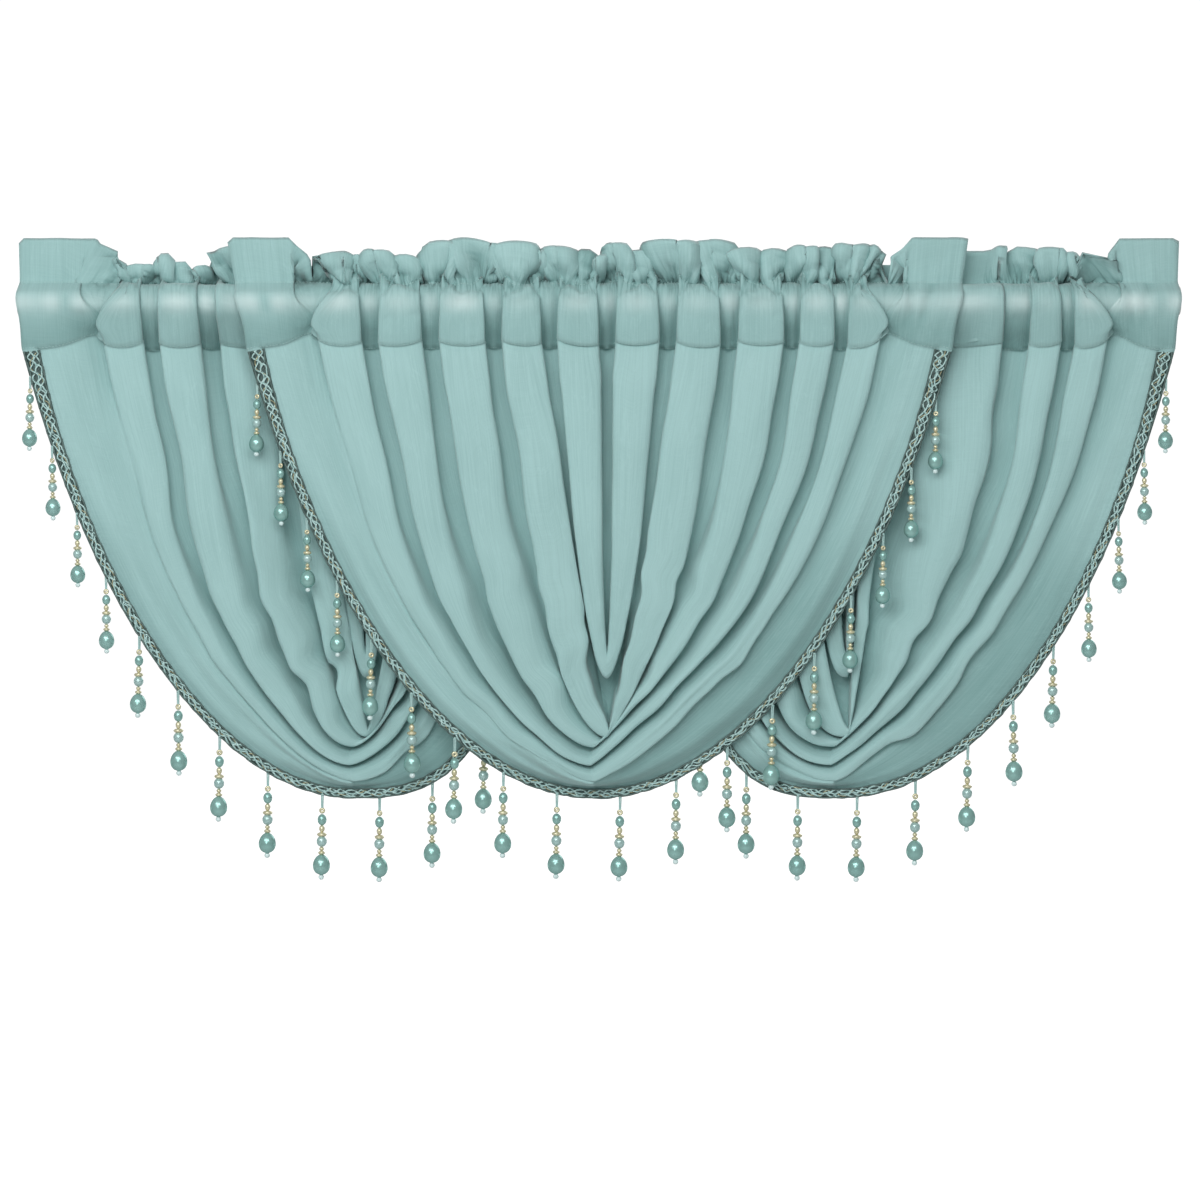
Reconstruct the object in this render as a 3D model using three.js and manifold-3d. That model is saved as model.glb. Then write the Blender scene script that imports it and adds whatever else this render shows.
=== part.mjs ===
// Rod pocket valance: three gathered swags of thin cloth on one round rod, each edged with a bead fringe.
// Millimetres. X runs along the rod, -Y faces the room, Z is up, and the rod's middle is the origin.
import * as THREE from "three";
import { mergeVertices } from "three/addons/utils/BufferGeometryUtils.js";
import Module from "manifold-3d";

const wasm = await Module();
wasm.setup();

// Rod
const ROD_RADIUS = 14;
const ROD_LENGTH = 1164;
const ROD_SIDES = 36;

// Cloth: one layer in the drape and in each pocket wall, two layers sewn together in the header
const CLOTH = 1.6;
const HEADER = 2.4;

// Heading: the stitch line lies just over the rod and the seam under it
const STITCH_Z = 18;
const STITCH_GAP = 1.6;
const SEAM_Z = -41;
const SEAM_GAP = 3;
const TAB_DROP = 7;
const HEADER_TOP = 62;
const POCKET_RADIUS = 16.8;
const PLEAT_FRONT = 6;
const PLEAT_BACK = 4;
const PLEAT_SWELL = [0.45, 0.9, 1, 0.8];
const STRAIGHT_SPAN = [0.2, 0.8];
const STITCH_PLEAT = 2;
const RUFFLE = 9;
const HIDDEN_RUFFLE = 3;
const HEADER_SHARES = [1, 0.5];

// Drape: how far it leans to the room from seam to hem, and how deep its folds are on the way
const SEAM_LEAN = 4;
const BELLY = 8;
const HEM_TUCK = 0.6;
const SEAM_DEPTH = 0.7;
const HEM_DEPTH = 0.55;
const VALLEY_SHARPNESS = 3;
const FLARE_POWER = 6;
const ROWS = 10;
const LENGTH_STEPS = 60;
const STEP_POWER = 1.5;

// The outer panel, from the last valley to the hem, ends in a flat band that carries the trim
const PANEL = 5;
const HEM = 6;
const BAND_START = 5.8;
const BAND = 13;
const PANEL_SOFTENING = 0.5;

// The outer swags pass behind the middle one: how far back, and where they end and begin to do so
const SIDE_BACK = 21;
const SIDE_FRONT_X = 560;
const SIDE_BACK_X = 390;
const HEADER_BACK = 1.1;
const HIDDEN_RADIUS = 26;
const POCKET_END = 2.5;
const NO_POCKET = Infinity;
const HIDDEN_FULLNESS = 1.5;
const RIGHT_FULLNESS = 1.06;

// Trim: a narrow braid just in front of the hem, with hanging strands of beads
const TRIM_GAP = 1;
const TRIM = 2.2;
const TRIM_WIDTH = 11.5;
const TRIM_START = 0.08;
const STRAND_PITCH = 73;
const STRAND_CROWDING = 1.5;
const LEAST_PITCH = 58;
const SIDE_FRINGE = 0.84;
const STRAND_SIDES = 4;
const ROOT_INSET = 1;
const ROOT_DEPTH = 1.2;

// Outline of one strand from its root down: thread, oval pearl, round pearl, egg-shaped pearl and tip
const STRAND = [
  { drop: 0, radius: 0.9 },
  { drop: 14, radius: 0.9 },
  { drop: 25.5, radius: 4.6 },
  { drop: 35, radius: 2 },
  { drop: 46, radius: 5.3 },
  { drop: 56, radius: 2.2 },
  { drop: 65, radius: 7.8 },
  { drop: 74, radius: 8.7 },
  { drop: 83, radius: 3.6 },
  { drop: 88, radius: 1.6 },
];

// Valley lines of a swag from the slit in its middle to the hem. Each hangs in a loop whose lowest point
// is at bottomZ; power and flare shape the loop, and depth is the depth of the folds beside it.
const VALLEYS = [
  { bottomZ: -352, power: 1.4, flare: 0, depth: 10 },
  { bottomZ: -402, power: 1.45, flare: 0.05, depth: 9 },
  { bottomZ: -434, power: 1.5, flare: 0.4, depth: 9 },
  { bottomZ: -450, power: 1.15, flare: 0.5, depth: 8 },
  { bottomZ: -468, power: 1.3, flare: 0.4, depth: 8 },
  { bottomZ: -483, power: 1.45, flare: 0.2, depth: 5 },
  { bottomZ: -498, power: 2, flare: 0.176, depth: 5 },
];

// Where the same lines cross the heading, half a swag at a time: x at the header's top and at the seam,
// and the height of the header there
const MIDDLE_LEFT = [
  { topX: 8, seamX: 8, rise: 54 },
  { topX: -50, seamX: -50, rise: 55 },
  { topX: -105, seamX: -105, rise: 60 },
  { topX: -169, seamX: -169, rise: 55 },
  { topX: -229, seamX: -229, rise: 50 },
  { topX: -291, seamX: -290, rise: 46 },
  { topX: -372, seamX: -353, rise: 62 },
];
const MIDDLE_RIGHT = [
  { topX: 8, seamX: 8, rise: 54 },
  { topX: 69, seamX: 69, rise: 59 },
  { topX: 130, seamX: 130, rise: 57 },
  { topX: 194, seamX: 194, rise: 52 },
  { topX: 242, seamX: 242, rise: 56 },
  { topX: 290, seamX: 289, rise: 48 },
  { topX: 370, seamX: 354, rise: 62 },
];
const LEFT_OUTER = [
  { topX: -241, seamX: -241, rise: 38 },
  { topX: -290, seamX: -287, rise: 38 },
  { topX: -356, seamX: -320, rise: 60 },
  { topX: -392, seamX: -392, rise: 38 },
  { topX: -450, seamX: -449, rise: 40 },
  { topX: -500, seamX: -505, rise: 32 },
  { topX: -581, seamX: -578, rise: 62 },
];
const LEFT_HIDDEN = [
  { topX: -241, seamX: -241, rise: 38 },
  { topX: -199, seamX: -199, rise: 38 },
  { topX: -159, seamX: -159, rise: 38 },
  { topX: -121, seamX: -121, rise: 38 },
  { topX: -85, seamX: -85, rise: 38 },
  { topX: -49, seamX: -49, rise: 38 },
  { topX: -14, seamX: -14, rise: 38 },
];
const RIGHT_HIDDEN = [
  { topX: 243, seamX: 243, rise: 38 },
  { topX: 197, seamX: 197, rise: 38 },
  { topX: 155, seamX: 155, rise: 38 },
  { topX: 117, seamX: 117, rise: 38 },
  { topX: 81, seamX: 81, rise: 38 },
  { topX: 46, seamX: 46, rise: 38 },
  { topX: 14, seamX: 14, rise: 38 },
];
const RIGHT_OUTER = [
  { topX: 243, seamX: 243, rise: 38 },
  { topX: 283, seamX: 267, rise: 38 },
  { topX: 317, seamX: 289, rise: 56 },
  { topX: 425, seamX: 425, rise: 52 },
  { topX: 464, seamX: 470, rise: 54 },
  { topX: 497, seamX: 517, rise: 40 },
  { topX: 581, seamX: 577, rise: 62 },
];

// Columns of the cloth from slit to hem, in fold numbers: whole numbers are valleys, halves are ridges
const FINE_FOLD = [0, 0.2, 0.5, 0.8];
const COARSE_FOLD = [0, 0.5];
const PANEL_COLUMNS = [5, 5.15, BAND_START, HEM];
const MIDDLE_FOLDS = [0, 1, 2, 3, 4].flatMap((fold) => FINE_FOLD.map((part) => fold + part));
const SIDE_FOLDS = [0, 1, 2].flatMap((fold) => COARSE_FOLD.map((part) => fold + part));
const SIDE_OUTER_FOLDS = [2.8, 3, 3.2, 3.5, 3.8, 4, 4.2, 4.5, 4.8];

// Each swag: x of its lowest point, its two halves (fullness squares the loops, pocketEnd is the fold
// where the pocket stops), its columns, how far it lies back and the runs of strands along its hem
const MIDDLE = {
  bottomX: -4,
  halves: [
    { lines: MIDDLE_LEFT, fullness: 1, pocketEnd: 0 },
    { lines: MIDDLE_RIGHT, fullness: 1, pocketEnd: 0 },
  ],
  folds: [...MIDDLE_FOLDS, ...PANEL_COLUMNS],
  back: 0,
  strands: [
    { from: "left", first: 18, share: 0.5 },
    { from: "right", first: 36, share: 0.5 },
  ],
};
const LEFT = {
  bottomX: -247,
  halves: [
    { lines: LEFT_OUTER, fullness: 1, pocketEnd: POCKET_END },
    { lines: LEFT_HIDDEN, fullness: HIDDEN_FULLNESS, pocketEnd: NO_POCKET },
  ],
  folds: [...SIDE_FOLDS, ...SIDE_OUTER_FOLDS, ...PANEL_COLUMNS],
  back: SIDE_BACK,
  strands: [{ from: "left", first: 18, share: SIDE_FRINGE }],
};
const RIGHT = {
  bottomX: 238,
  halves: [
    { lines: RIGHT_HIDDEN, fullness: HIDDEN_FULLNESS, pocketEnd: NO_POCKET },
    { lines: RIGHT_OUTER, fullness: RIGHT_FULLNESS, pocketEnd: POCKET_END },
  ],
  folds: [...SIDE_FOLDS, ...SIDE_OUTER_FOLDS, ...PANEL_COLUMNS],
  back: SIDE_BACK,
  strands: [{ from: "right", first: 22, share: SIDE_FRINGE }],
};

// Corners closer than this are one corner
const WELD = 1e-3;

const lerp = THREE.MathUtils.lerp;
const clamp = THREE.MathUtils.clamp;

// A table's value in one column at a fold number between two rows
function at(table, column, fold) {
  const row = Math.min(Math.floor(fold), table.length - 2);
  return lerp(table[row][column], table[row + 1][column], fold - row);
}

// Height of the seam, which drops a little towards the outer corner of the flat tab
const seamHeight = (fold) => SEAM_Z - TAB_DROP * clamp(fold - PANEL, 0, 1);

// The wave across the folds: 1 on a ridge, -1 in a valley, 0 on the flat outer panel
function wave(fold) {
  if (fold > PANEL) {
    return -Math.max(0, 1 - (fold - PANEL) / PANEL_SOFTENING);
  }
  return 1 - 2 * Math.abs(Math.cos(Math.PI * fold)) ** VALLEY_SHARPNESS;
}

// How far an outer swag lies behind the middle one at a place along the rod
function setBack(swag, x) {
  return swag.back * THREE.MathUtils.smoothstep(-Math.abs(x), -SIDE_FRONT_X, -SIDE_BACK_X);
}

// One point of a hanging loop, at a share of its length from the seam (0) to its lowest point (1)
function loopPoint(swag, half, fold, share) {
  const reach = at(half.lines, "seamX", fold) - swag.bottomX;
  const low = at(VALLEYS, "bottomZ", fold);
  const power = at(VALLEYS, "power", fold) * half.fullness;
  const flare = at(VALLEYS, "flare", fold);
  const height = seamHeight(fold) - low;
  const place = (step) => {
    const u = (1 - step / LENGTH_STEPS) ** STEP_POWER;
    const rise = (1 - flare) * u ** power + flare * u ** FLARE_POWER;
    return new THREE.Vector2(swag.bottomX + reach * u, low + height * rise);
  };
  const points = Array.from({ length: LENGTH_STEPS + 1 }, (_, step) => place(step));
  const lengths = [0];
  for (let step = 1; step <= LENGTH_STEPS; step += 1) {
    lengths.push(lengths[step - 1] + points[step].distanceTo(points[step - 1]));
  }
  const wanted = share * lengths[LENGTH_STEPS];
  let step = 1;
  while (step < LENGTH_STEPS && lengths[step] < wanted) {
    step += 1;
  }
  const part = (wanted - lengths[step - 1]) / (lengths[step] - lengths[step - 1]);
  return points[step - 1].clone().lerp(points[step], clamp(part, 0, 1));
}

// Share of the way from the last valley to the hem for a column of the outer panel
function panelShare(swag, half, fold, share) {
  if (fold === HEM) {
    return 1;
  }
  const width = loopPoint(swag, half, PANEL, share).distanceTo(loopPoint(swag, half, HEM, share));
  return ((fold - PANEL) / (BAND_START - PANEL)) * (1 - BAND / width);
}

// One point in the middle of the drape's cloth
function drapePoint(swag, half, fold, share) {
  const flat = loopPoint(swag, half, Math.min(fold, PANEL), share);
  if (fold > PANEL) {
    flat.lerp(loopPoint(swag, half, HEM, share), panelShare(swag, half, fold, share));
  }
  const fullness = 1 - HEM_TUCK * (fold / HEM) ** 2;
  const lean = -SEAM_LEAN - BELLY * Math.sin((Math.PI / 2) * share) * fullness;
  const ends = lerp(SEAM_DEPTH, HEM_DEPTH, share);
  const strength = ends + (1 - ends) * Math.sin(Math.PI * share);
  const depth = at(VALLEYS, "depth", fold) * strength * wave(fold);
  return new THREE.Vector3(flat.x, setBack(swag, flat.x) + lean - depth, flat.y);
}

// A path in the YZ plane from one point over the rod's front (-1) or back (1) to another,
// swollen outwards by a pleat; only the points between the two ends
function wrapRod(from, to, radius, side, pleat) {
  const turn = (p) => Math.atan2(side * p.y, p.z);
  const slack = (p) => Math.acos(Math.min(1, radius / Math.hypot(p.y, p.z)));
  const last = turn(to) < 0 ? turn(to) + 2 * Math.PI : turn(to);
  const start = turn(from) + slack(from);
  const end = last - slack(to);
  return PLEAT_SWELL.map((swell, i) => {
    const share = i / (PLEAT_SWELL.length - 1);
    if (end <= start) {
      const straight = lerp(...STRAIGHT_SPAN, share);
      return { y: lerp(from.y, to.y, straight), z: lerp(from.z, to.z, straight) };
    }
    const angle = lerp(start, end, share);
    const reach = radius + pleat * swell;
    return { y: side * reach * Math.sin(angle), z: reach * Math.cos(angle) };
  });
}

// One column of a swag's heading: header, stitch line, both walls of the pocket and seam
function headingColumn(swag, half, fold, tunnel, seam) {
  const inner = Math.min(fold, PANEL);
  const share = fold > PANEL ? panelShare(swag, half, fold, 0) : 0;
  const across = (column) => lerp(at(half.lines, column, inner), at(half.lines, column, HEM), share);
  const rise = at(half.lines, "rise", fold > PANEL ? HEM : fold);
  const foot = seam.middle.z;
  const xAt = (z) => lerp(across("seamX"), across("topX"), (z - foot) / (HEADER_TOP - foot));
  const place = (p) => new THREE.Vector3(xAt(p.z), p.y, p.z);
  const pleat = fold > PANEL ? 0 : (1 + wave(fold)) / 2;
  const back = HEADER_BACK * setBack(swag, xAt(STITCH_Z));
  const stitchY = back - STITCH_PLEAT * wave(fold);
  const ruffle = tunnel ? RUFFLE : HIDDEN_RUFFLE;
  const headerPoint = (part, side) => ({
    y: lerp(stitchY, back - ruffle * wave(fold), part) + (side * HEADER) / 2,
    z: lerp(STITCH_Z, rise, part),
  });
  const stitch = { y: stitchY, z: STITCH_Z - STITCH_GAP };
  const joint = { y: seam.middle.y, z: foot + SEAM_GAP };
  const radius = tunnel ? POCKET_RADIUS : HIDDEN_RADIUS;
  const pleatBack = tunnel && fold <= PANEL ? PLEAT_BACK * (1 - pleat) : 0;
  const wall = (from, to, side, offset, swell) => [
    place(from),
    ...wrapRod(from, to, radius + offset, side, swell).map(place),
    to.isVector3 ? to : place(to),
  ];
  const front = headerPoint(0, -1);
  const rear = headerPoint(0, 1);
  return {
    tunnel,
    headerFront: [...HEADER_SHARES, 0].map((part) => place(headerPoint(part, -1))),
    headerBack: [...HEADER_SHARES, 0].map((part) => place(headerPoint(part, 1))),
    outerFront: wall(front, seam.front, -1, CLOTH / 2, PLEAT_FRONT * pleat),
    innerFront: wall(stitch, joint, -1, -CLOTH / 2, PLEAT_FRONT * pleat),
    innerBack: wall(stitch, joint, 1, -CLOTH / 2, pleatBack),
    outerBack: wall(rear, seam.back, 1, CLOTH / 2, pleatBack),
  };
}

// A list of triangles that becomes one closed surface when its equal corners are joined
class Surface {
  corners = [];

  triangle(a, b, c) {
    this.corners.push(a, b, c);
  }

  // Quads between two lists of points; outward follows the right-hand rule from list to list
  strip(first, second, toRoom) {
    for (let i = 0; i + 1 < first.length; i += 1) {
      const [a, b, c, d] = [first[i], second[i], second[i + 1], first[i + 1]];
      if (toRoom) {
        this.triangle(a, d, c);
        this.triangle(a, c, b);
      } else {
        this.triangle(a, b, c);
        this.triangle(a, c, d);
      }
    }
  }

  geometry() {
    return mergeVertices(new THREE.BufferGeometry().setFromPoints(this.corners), WELD);
  }
}

// The grid of points in the middle of the drape's cloth, and the two faces half a thickness off it
function drapeGrid(swag) {
  const left = swag.folds.toReversed().map((fold) => ({ half: swag.halves[0], fold }));
  const right = swag.folds.slice(1).map((fold) => ({ half: swag.halves[1], fold }));
  const columns = [...left, ...right];
  const centre = swag.folds.length - 1;
  const grid = columns.map(({ half, fold }) =>
    Array.from({ length: ROWS + 1 }, (_, row) => drapePoint(swag, half, fold, row / ROWS)),
  );
  const last = columns.length - 1;
  const normal = (column, row) => {
    if (row === ROWS && column > centre) {
      return normal(last - column, row);
    }
    let along = grid[Math.min(column + 1, last)][row].clone().sub(grid[Math.max(column - 1, 0)][row]);
    let down = grid[column][Math.min(row + 1, ROWS)].clone().sub(grid[column][Math.max(row - 1, 0)]);
    if (row === ROWS) {
      const across = Math.max(1, centre - column);
      down = grid[centre + across][row - 1].clone().sub(grid[centre - across][row - 1]);
      if (column === centre) {
        along = grid[column][row - 1].clone().sub(grid[column - 1][row]);
      }
    }
    const out = along.cross(down).normalize();
    return out.y > 0 ? out.negate() : out;
  };
  return columns.map(({ half, fold }, column) => {
    const normals = grid[column].map((_, row) => normal(column, row));
    const lifted = (p, row, lift) => p.clone().addScaledVector(normals[row], lift);
    const face = (lift) => grid[column].map((p, row) => lifted(p, row, lift));
    return { half, fold, normals, middle: grid[column], front: face(CLOTH / 2), back: face(-CLOTH / 2) };
  });
}

// Closes one end of the cloth: header, pocket walls and hem
function closeEnd(surface, heading, drape, toRoom) {
  const turned = (a, b, c) => (toRoom ? surface.triangle(a, c, b) : surface.triangle(a, b, c));
  surface.strip(heading.headerFront, heading.headerBack, toRoom);
  turned(heading.outerFront[0], heading.outerBack[0], heading.innerBack[0]);
  surface.strip(heading.innerBack, heading.outerBack, toRoom);
  if (heading.tunnel) {
    surface.strip(heading.outerFront, heading.innerFront, toRoom);
  }
  turned(heading.innerBack.at(-1), drape.back[0], drape.front[0]);
  surface.strip(drape.front, drape.back, toRoom);
}

// One swag as a closed sheet: heading and drape share their columns
function swagGeometry(swag, drape) {
  const surface = new Surface();
  const headings = drape.map(({ half, fold, middle, front, back }) => {
    const seam = { middle: middle[0], front: front[0], back: back[0] };
    return headingColumn(swag, half, fold, fold >= half.pocketEnd, seam);
  });
  for (let i = 0; i + 1 < drape.length; i += 1) {
    const [a, b] = [headings[i], headings[i + 1]];
    surface.strip(a.headerFront, b.headerFront, true);
    surface.strip(a.headerBack, b.headerBack, false);
    surface.strip([a.headerFront[0], a.headerBack[0]], [b.headerFront[0], b.headerBack[0]], false);
    surface.strip(a.outerBack, b.outerBack, false);
    if (a.tunnel && b.tunnel) {
      surface.strip(a.outerFront, b.outerFront, true);
      surface.strip(a.innerFront, b.innerFront, false);
      surface.strip(a.innerBack, b.innerBack, true);
    } else {
      const wallOf = (h) => [h.outerFront[0], ...h.innerBack, h.outerFront.at(-1)];
      surface.strip(wallOf(a), wallOf(b), true);
    }
    if (a.tunnel !== b.tunnel) {
      const end = a.tunnel ? a : b;
      surface.strip(end.outerFront, end.innerFront, a.tunnel);
    }
    surface.strip(drape[i].front, drape[i + 1].front, true);
    surface.strip(drape[i].back, drape[i + 1].back, false);
  }
  closeEnd(surface, headings[0], drape[0], false);
  closeEnd(surface, headings.at(-1), drape.at(-1), true);
  return surface.geometry();
}

// Manifold solid of a closed geometry, and back
function solidOf(geometry) {
  return new wasm.Manifold(
    new wasm.Mesh({
      numProp: 3,
      vertProperties: geometry.getAttribute("position").array,
      triVerts: new Uint32Array(geometry.index.array),
    }),
  );
}
function geometryOf(solid) {
  const mesh = solid.getMesh();
  const positions = new THREE.BufferAttribute(mesh.vertProperties, mesh.numProp);
  const geometry = new THREE.BufferGeometry().setAttribute("position", positions);
  return geometry.setIndex(new THREE.BufferAttribute(mesh.triVerts, 1));
}

// Corners of the braid's section, one set for each row of the hem from one end to the other
function trimSections(drape) {
  const side = (hem, band) => {
    const section = (row) => {
      const out = hem.normals[row];
      const width = hem.front[row].distanceTo(band.front[row]);
      const corner = (share, lift) =>
        hem.front[row].clone().lerp(band.front[row], share).addScaledVector(out, lift);
      const [near, far] = [TRIM_GAP, TRIM_GAP + TRIM];
      const inner = TRIM_WIDTH / width;
      return [corner(inner, near), corner(inner, far), corner(0, far), corner(0, near)];
    };
    const sections = Array.from({ length: ROWS + 1 }, (_, row) => section(row));
    sections[0] = sections[0].map((corner, i) => corner.clone().lerp(sections[1][i], TRIM_START));
    return sections;
  };
  const left = side(drape[0], drape[1]);
  const right = side(drape.at(-1), drape.at(-2)).toReversed();
  return [...left, ...right.slice(1)];
}

// One strand: a four-sided body from its root straight down
function strandSolid(root) {
  const surface = new Surface();
  const ring = ({ drop, radius }) => {
    const corner = (side) => {
      const angle = (2 * Math.PI * side) / STRAND_SIDES;
      return new THREE.Vector3(
        root.x + radius * Math.cos(angle),
        root.y + radius * Math.sin(angle),
        root.z + ROOT_DEPTH - drop,
      );
    };
    return Array.from({ length: STRAND_SIDES + 1 }, (_, i) => corner(i % STRAND_SIDES));
  };
  const rings = STRAND.map(ring);
  for (let i = 0; i + 1 < rings.length; i += 1) {
    surface.strip(rings[i], rings[i + 1], false);
  }
  const [top, end] = [rings[0], rings.at(-1)];
  surface.strip([top[0], top[1]], [top[3], top[2]], true);
  surface.strip([end[0], end[1]], [end[3], end[2]], false);
  return solidOf(surface.geometry());
}

// Distances of the strands along a hem from one of its ends, closer together lower down
function strandPlaces(first, reach) {
  const places = [];
  let place = first;
  while (place < reach) {
    places.push(place);
    place += Math.max(LEAST_PITCH, STRAND_PITCH - STRAND_CROWDING * (places.length - 1));
  }
  return places;
}

// The braid with its strands fused to it
function trimGeometry(swag, drape) {
  const sections = trimSections(drape);
  const surface = new Surface();
  for (let i = 0; i + 1 < sections.length; i += 1) {
    const closed = (section) => [...section, section[0]];
    surface.strip(closed(sections[i]), closed(sections[i + 1]), true);
  }
  const [first, last] = [sections[0], sections.at(-1)];
  surface.strip([first[0], first[1]], [first[3], first[2]], false);
  surface.strip([last[0], last[1]], [last[3], last[2]], true);
  const roots = sections.map((section) => {
    const edge = section[2].clone().add(section[3]).divideScalar(2);
    const inner = section[0].clone().add(section[1]).divideScalar(2);
    return edge.addScaledVector(inner.sub(edge).normalize(), ROOT_INSET);
  });
  const path = new THREE.CurvePath();
  roots.slice(1).forEach((p, i) => path.add(new THREE.LineCurve3(roots[i], p)));
  const length = path.getLength();
  let solid = solidOf(surface.geometry());
  for (const { from, first, share } of swag.strands) {
    for (const place of strandPlaces(first, share * length)) {
      const along = from === "left" ? place / length : 1 - place / length;
      solid = solid.add(strandSolid(path.getPoint(along)));
    }
  }
  return geometryOf(solid);
}

// Materials
const cloth = () => new THREE.MeshStandardMaterial({ color: 0x9ac3c1, roughness: 0.75, metalness: 0 });
const beads = () => new THREE.MeshStandardMaterial({ color: 0x86b3ad, roughness: 0.35, metalness: 0.1 });
const paint = () => new THREE.MeshStandardMaterial({ color: 0xeeeeea, roughness: 0.4, metalness: 0 });

const valance = new THREE.Group();
valance.name = "rod_pocket_valance";

function addMesh(name, geometry, material) {
  geometry.computeVertexNormals();
  const mesh = new THREE.Mesh(geometry, material);
  mesh.name = name;
  valance.add(mesh);
  return mesh;
}

const rodGeometry = new THREE.CylinderGeometry(ROD_RADIUS, ROD_RADIUS, ROD_LENGTH, ROD_SIDES);
const rod = addMesh("rod", rodGeometry, paint());
rod.rotation.z = Math.PI / 2;

for (const [side, swag] of Object.entries({ left: LEFT, middle: MIDDLE, right: RIGHT })) {
  const drape = drapeGrid(swag);
  addMesh(`swag_${side}`, swagGeometry(swag, drape), cloth());
  addMesh(`trim_${side}`, trimGeometry(swag, drape), beads());
}

export default valance;
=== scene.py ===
# %% [markdown]
# # A rod pocket valance
# Three swags of thin cloth hang from one painted rod. Each has a ruffled header, a pocket for the rod,
# a drape that falls in nested loops, and a bead fringe along its hem. The CAD frame already has the
# rod, the cloth and the fringe as plain solids; here the soft pieces get their folds, thread and beads.
# Lengths are in millimetres until a mesh is made, and the rod's axis is the origin.

import math
from types import SimpleNamespace

import bpy
import numpy as np
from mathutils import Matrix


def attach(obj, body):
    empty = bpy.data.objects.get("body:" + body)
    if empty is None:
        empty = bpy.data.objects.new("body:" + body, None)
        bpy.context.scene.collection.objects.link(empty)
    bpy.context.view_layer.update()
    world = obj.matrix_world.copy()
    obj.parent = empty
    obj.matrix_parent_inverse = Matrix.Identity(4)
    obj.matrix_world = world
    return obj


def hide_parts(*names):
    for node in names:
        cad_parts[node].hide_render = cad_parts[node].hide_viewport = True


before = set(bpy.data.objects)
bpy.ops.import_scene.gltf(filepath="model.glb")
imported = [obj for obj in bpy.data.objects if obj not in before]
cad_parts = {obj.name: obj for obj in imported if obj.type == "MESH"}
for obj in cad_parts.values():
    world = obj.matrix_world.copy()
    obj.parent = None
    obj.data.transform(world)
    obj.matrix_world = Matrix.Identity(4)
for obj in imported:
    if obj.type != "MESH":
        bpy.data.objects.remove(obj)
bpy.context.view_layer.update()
scene = bpy.context.scene
MM = 0.001
print("frame:", sorted(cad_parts))

# %% [markdown]
# ## Camera
# The picture was taken from straight in front with a long lens, so verticals stay upright and the two
# ends look alike. An orthographic camera would be flatter still; a 120 mm lens four metres away keeps a
# trace of depth where one swag hangs behind another. It sees 1.2 m of the wall, and its axis is level.

# %% Camera
lens = bpy.data.cameras.new("camera")
lens.lens = 120
lens.sensor_width = 36
camera = bpy.data.objects.new("camera", lens)
camera.location = (0.001, -4.01, -0.300)
camera.rotation_euler = (math.pi / 2, 0, 0)
scene.collection.objects.link(camera)
scene.camera = camera
print("camera at", tuple(camera.location))

# %% [markdown]
# ## Writing node trees as sums
# Shader and geometry trees are nodes joined by wires. They could be wired one link at a time, but a
# formula is easier to read. `Wire` holds one output socket, so that `1 - a * b` makes its Math nodes by
# itself; its `node` method makes any other node, and `feed` plugs a wire into a socket.

# %% Node trees
class Wire:
    def __init__(self, tree, socket=None):
        self.tree = tree
        self.socket = socket

    def node(self, kind, settings=None, inputs=None, output=0):
        """Any node: its settings first, then values or wires for its sockets; a list joins several wires."""
        made = self.tree.nodes.new(kind)
        for name, value in (settings or {}).items():
            setattr(made, name, value)
        for key, value in (inputs or {}).items():
            for one in value if isinstance(value, list) else [value]:
                if isinstance(one, Wire):
                    self.tree.links.new(one.socket, made.inputs[key])
                else:
                    made.inputs[key].default_value = one
        return Wire(self.tree, made.outputs[output])

    def feed(self, node, name):
        """Plugs this wire into a socket of a finished node."""
        self.tree.links.new(self.socket, node.inputs[name])

    def math(self, operation, *values):
        """A Math node on the given values, or on this wire alone."""
        return self.node("ShaderNodeMath", {"operation": operation}, dict(enumerate(values or (self,))))

    def __add__(self, other):
        return self.math("ADD", self, other)

    def __sub__(self, other):
        return self.math("SUBTRACT", self, other)

    def __rsub__(self, other):
        return self.math("SUBTRACT", other, self)

    def __mul__(self, other):
        return self.math("MULTIPLY", self, other)

    def __truediv__(self, other):
        return self.math("DIVIDE", self, other)

    def __rtruediv__(self, other):
        return self.math("DIVIDE", other, self)

    __radd__ = __add__
    __rmul__ = __mul__


def mix(share, a, b):
    """A colour between a and b."""
    return share.node("ShaderNodeMix", {"data_type": "RGBA"}, {0: share, 6: a, 7: b}, 2)


def clamp(wire):
    """Keeps a wire between 0 and 1."""
    return wire.node("ShaderNodeClamp", None, {0: wire})


def map_range(wire, *limits):
    """Maps from the first two limits to the last two."""
    return wire.node("ShaderNodeMapRange", None, {0: wire, **dict(enumerate(limits, 1))})


def axis_of(place, axis):
    """One coordinate of a place."""
    return place.node("ShaderNodeSeparateXYZ", None, {0: place}, axis)


X, Y, Z = 0, 1, 2
GENERATED, OBJECT = 0, 3  # outputs of the Texture Coordinate node
print("nodes are written as sums of", Wire.__name__)

# %% [markdown]
# ## Light and floor
# The object was shown in a white studio. Many lamps could build that up; a bright world needs one
# formula: a white wall behind, and all round an even light that is stronger from above, so that only
# deep folds go dark.

# %% Studio world
scene.view_settings.view_transform = "Standard"
WALL = (0.75, 0.96, 0.0, 1.05)
AMBIENT = (-1.0, 1.0, 0.18, 0.42)

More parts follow.
